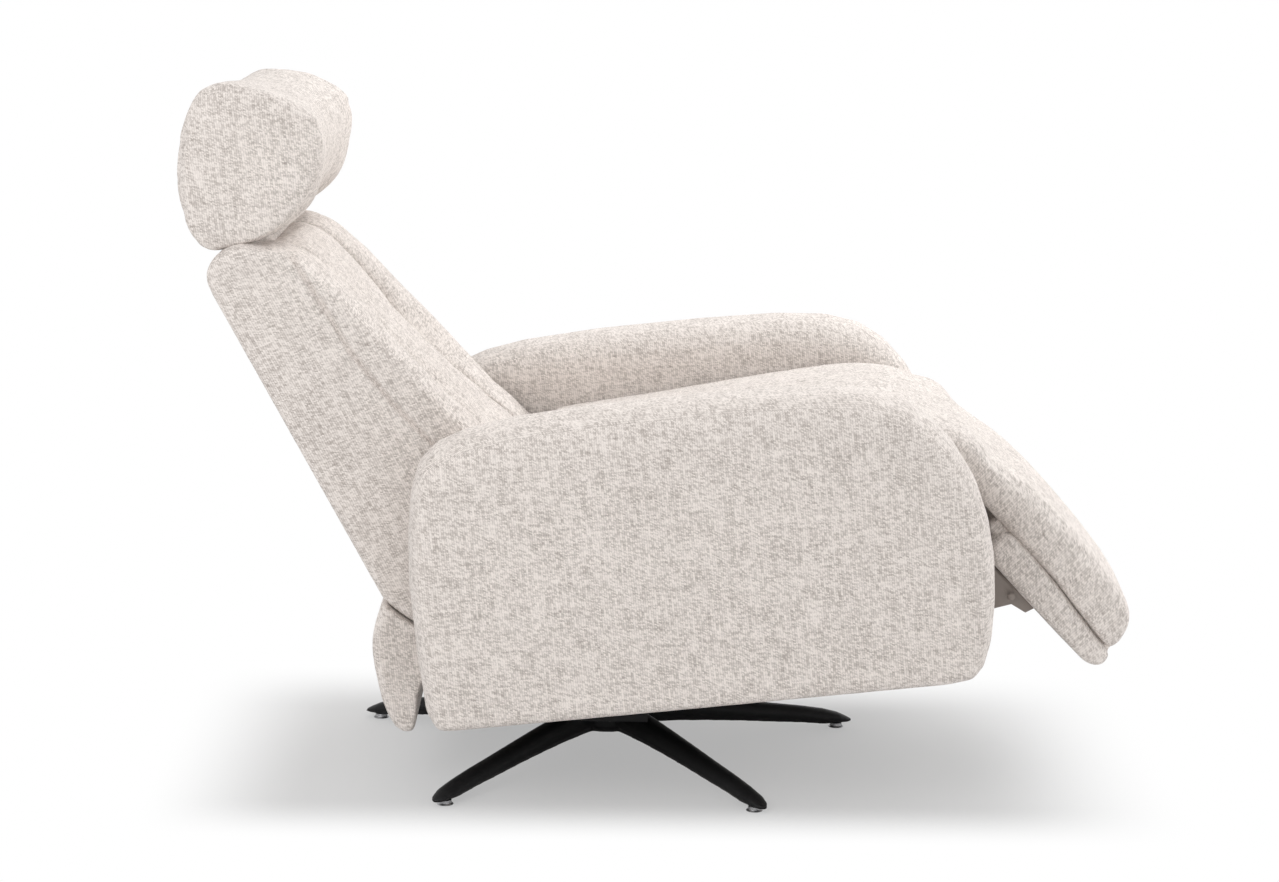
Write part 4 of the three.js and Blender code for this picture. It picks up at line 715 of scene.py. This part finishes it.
back_cover = copy_of("back_cover", "back_shell", "back_bolster_right", "back_bolster_left")
evened(back_cover, BACK_VOXEL, BACK_ROUNDS)
refined(back_cover)
side_line = [leaned("recline", BACK_LEAN, forward, rise) for forward, rise in SIDE_SEAM]
outer = smooth_share((numpy.abs(spots_of(back_cover)[:, 0]) - BACK_HALF + SIDE_BAND) / SIDE_FADE)
pushed(back_cover, -SEAM_DEPTH * outer * nearness(back_cover, side_line, SEAM_REACH))
pushed(back_cover, CORNER_FULLER * near_spot(back_cover, "recline", BACK_LEAN, TOP_CORNER, CORNER_REACH))
flattened(back_cover)
fitted(back_cover, "back", "fabric", back_weave, "back_shell", "back_bolster_right", "back_bolster_left")
centre_pad = copy_of("padded_back_centre", "back_centre_pad")
evened(centre_pad, BACK_VOXEL, BACK_ROUNDS)
stuffed(centre_pad, PAD_DRAW_IN, PAD_SWELL)
refined(centre_pad)
flattened(centre_pad)
fitted(centre_pad, "back", "fabric", back_weave, "back_centre_pad")

# ----------------------------------------------------------------------------------------------------------
# Headrest: a winged foam wedge in its own cover. Its two flat end panels are sewn in with a seam that stands
# up as a soft ridge round the edge. Its top is a little higher at one end, as a used cushion's is.
HEADREST_VOXEL = 0.005
HEADREST_ROUNDS = 14
HEADREST_HALF = 0.222
HEADREST_DRAW_IN = 0.0008
HEADREST_SWELL = 0.0025
END_SEAM = [
    (0.148, 0.061), (0.148, 0.085), (0.113, 0.097), (0.083, 0.124), (0.040, 0.140), (0.0005, 0.141),
    (-0.023, 0.119), (-0.039, 0.091), (-0.050, 0.049), (-0.051, -0.002), (-0.034, -0.038), (0.0, -0.059),
    (0.055, -0.056), (0.094, -0.013), (0.129, 0.026), (0.148, 0.061),
]
END_SEAM_DEPTH = 0.0035
END_SEAM_REACH = 0.009
RIDGE_HEIGHT = 0.0022
RIDGE_REACH = 0.011
RIDGE_OUT = 1.06
END_BAND = 0.034
END_FADE = 0.02
END_SPREAD = 6
CROWN_MIDDLE = (-0.025, 0.130)
CROWN_REACH = 0.11
CROWN_PLACES = (-0.222, -0.18, -0.10, 0.0, 0.10, 0.18, 0.222)
CROWN_RISES = (0.014, 0.014, 0.010, 0.001, -0.003, -0.003, 0.001)
CROWN_SPREAD = 12
WING_FRONT = (0.100, -0.008)
WING_REACH = 0.085
WING_FULLER = 0.0085
WING_START = 0.09
WING_FADE = 0.08
WING_SPREAD = 6
headrest = copy_of("padded_headrest", "headrest_cushion")
evened(headrest, HEADREST_VOXEL, HEADREST_ROUNDS)
stuffed(headrest, HEADREST_DRAW_IN, HEADREST_SWELL)
refined(headrest)
end_seam = numpy.array(END_SEAM)
end_middle = end_seam.mean(axis=0)
ridge_points = end_middle + (end_seam - end_middle) * RIDGE_OUT
seam_line = [leaned("headrest", BODY_LEAN, *point) for point in END_SEAM]
ridge_line = [leaned("headrest", BODY_LEAN, *point) for point in ridge_points]
across = spots_of(headrest)[:, 0]
end_share = smooth_share((numpy.abs(across) - HEADREST_HALF + END_BAND) / END_FADE)
seam = END_SEAM_DEPTH * end_share * nearness(headrest, seam_line, END_SEAM_REACH)
ridge = RIDGE_HEIGHT * end_share * nearness(headrest, ridge_line, RIDGE_REACH)
pushed(headrest, spread(headrest, ridge - seam, END_SPREAD))
rise = numpy.interp(across, CROWN_PLACES, CROWN_RISES)
rise = rise * near_spot(headrest, "headrest", BODY_LEAN, CROWN_MIDDLE, CROWN_REACH)
rows = spots_of(headrest)
rows[:, 2] += spread(headrest, rise, CROWN_SPREAD)
set_spots(headrest, rows)
fuller = WING_FULLER * smooth_share((numpy.abs(across) - WING_START) / WING_FADE)
fuller = fuller * near_spot(headrest, "headrest", BODY_LEAN, WING_FRONT, WING_REACH)
pushed(headrest, spread(headrest, fuller, WING_SPREAD))
fitted(headrest, "headrest", "fabric", body_weave, "headrest_cushion")

# ----------------------------------------------------------------------------------------------------------
# The long seat pad: seat cushion and footrest share one cover, which bends over the deck's round nose. A
# padded roll fills the nose, so that it stays full when the footrest swings down.
NOSE_SKIN = 0.0500
SKIN_HALF = 0.236
NOSE_ROUND = 0.020
LONG_LEAN = -20.0
LONG_VOXEL = 0.0065
LONG_ROUNDS = 14
LONG_DRAW_IN = 0.0010
LONG_SWELL = 0.0040
SOFT_REACH = 0.15
SOFT_ROUNDS = 10


def softened(piece, middle, reach, rounds):
    """Draws a piece's skin smooth round an axis that runs across the chair, and less further from it."""
    net = net_of(piece)
    rows = spots_of(piece)
    gap = numpy.linalg.norm(rows[:, 1:] - numpy.array(middle[1:]), axis=1)
    weight = 0.5 * smooth_share(2 - 2 * gap / reach)[:, None]
    for _ in range(rounds):
        rows = rows + weight * (neighbours(rows, net) - rows)
    set_spots(piece, rows)


long_weave = woven("weave_long_pad", LONG_LEAN, FOOTREST_LEAN)
hinge = pivots["footrest"]
bpy.ops.object.select_all(action="DESELECT")
bpy.ops.mesh.primitive_cylinder_add(
    vertices=64, radius=NOSE_SKIN, depth=2 * SKIN_HALF,
    location=hinge, rotation=(0, math.radians(90), 0),
)
nose = bpy.context.object
bpy.ops.object.transform_apply(location=True, rotation=True)
use(nose, "BEVEL", width=NOSE_ROUND, segments=5, limit_method="ANGLE")
long_pad = copy_of("long_seat_pad", "seat_cushion", "footrest_pad")
alone(long_pad)
nose.select_set(True)
bpy.ops.object.join()
evened(long_pad, LONG_VOXEL, LONG_ROUNDS)
softened(long_pad, hinge, SOFT_REACH, SOFT_ROUNDS)
stuffed(long_pad, LONG_DRAW_IN, LONG_SWELL)
refined(long_pad)
long_pad.data.materials.clear()
long_pad.data.materials.append(long_weave)
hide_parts("seat_cushion", "footrest_pad")
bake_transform(long_pad)

# ----------------------------------------------------------------------------------------------------------
# Footrest board: a thin layer wrapped in the same cloth under the pad. A filling between them brings their
# edges together in a soft valley, and the brackets are screwed to the board's underside.
JOIN_START = 0.094
JOIN_END = 0.327
JOIN_LOW = -0.016
JOIN_HIGH = 0.012
JOIN_HALF = 0.216
BOARD_VOXEL = 0.0045
BOARD_ROUNDS = 8
BOARD_FULLER = 0.0028
bpy.ops.object.select_all(action="DESELECT")
join_middle = leaned(
    "footrest", FOOTREST_LEAN, (JOIN_START + JOIN_END) / 2, (JOIN_LOW + JOIN_HIGH) / 2,
)
bpy.ops.mesh.primitive_cube_add(
    size=1, location=join_middle, rotation=(-math.radians(FOOTREST_LEAN), 0, 0),
    scale=(2 * JOIN_HALF, JOIN_END - JOIN_START, JOIN_HIGH - JOIN_LOW),
)
filling = bpy.context.object
bpy.ops.object.transform_apply(location=True, rotation=True, scale=True)
board_weave = woven("weave_board", FOOTREST_LEAN)
board = copy_of("covered_footrest_board", "footrest_board")
alone(board)
filling.select_set(True)
bpy.ops.object.join()
evened(board, BOARD_VOXEL, BOARD_ROUNDS)
pushed(board, BOARD_FULLER)
refined(board)
fitted(board, "footrest", "fabric", board_weave, "footrest_board")

# ----------------------------------------------------------------------------------------------------------
# Rear apron: a covered skirt that closes the gap between the arms behind the seat. It is wrapped over a rail
# and stapled, with little padding.
APRON_VOXEL = 0.0045
APRON_ROUNDS = 8
apron = copy_of("covered_rear_apron", "rear_apron")
evened(apron, APRON_VOXEL, APRON_ROUNDS)
refined(apron)
fitted(apron, "seat_body", "fabric", body_weave, "rear_apron")

# ----------------------------------------------------------------------------------------------------------
# Seat deck: dark lining cloth over webbing and foam, which shows only from below. Its solid keeps its shape
# and takes a felted black cloth.
LINING_DARK = (0.012, 0.012, 0.012)
LINING_LIGHT = (0.05, 0.048, 0.046)
FELT_SCALE = 600.0
lining, lining_shader, wire = blank_material("lining")
place = wire.node("ShaderNodeTexCoord", out=3)
felt = wire.node("ShaderNodeTexNoise", {}, {"Vector": place, "Scale": FELT_SCALE, "Detail": 3.0})
feed(wire.between(felt, LINING_DARK, LINING_LIGHT), lining_shader, "Base Color")
lining_shader.inputs["Roughness"].default_value = 0.95
for node, slot in slots.items():
    if slot == "lining":
        frame["nodes"][node].data.materials.clear()
        frame["nodes"][node].data.materials.append(lining)
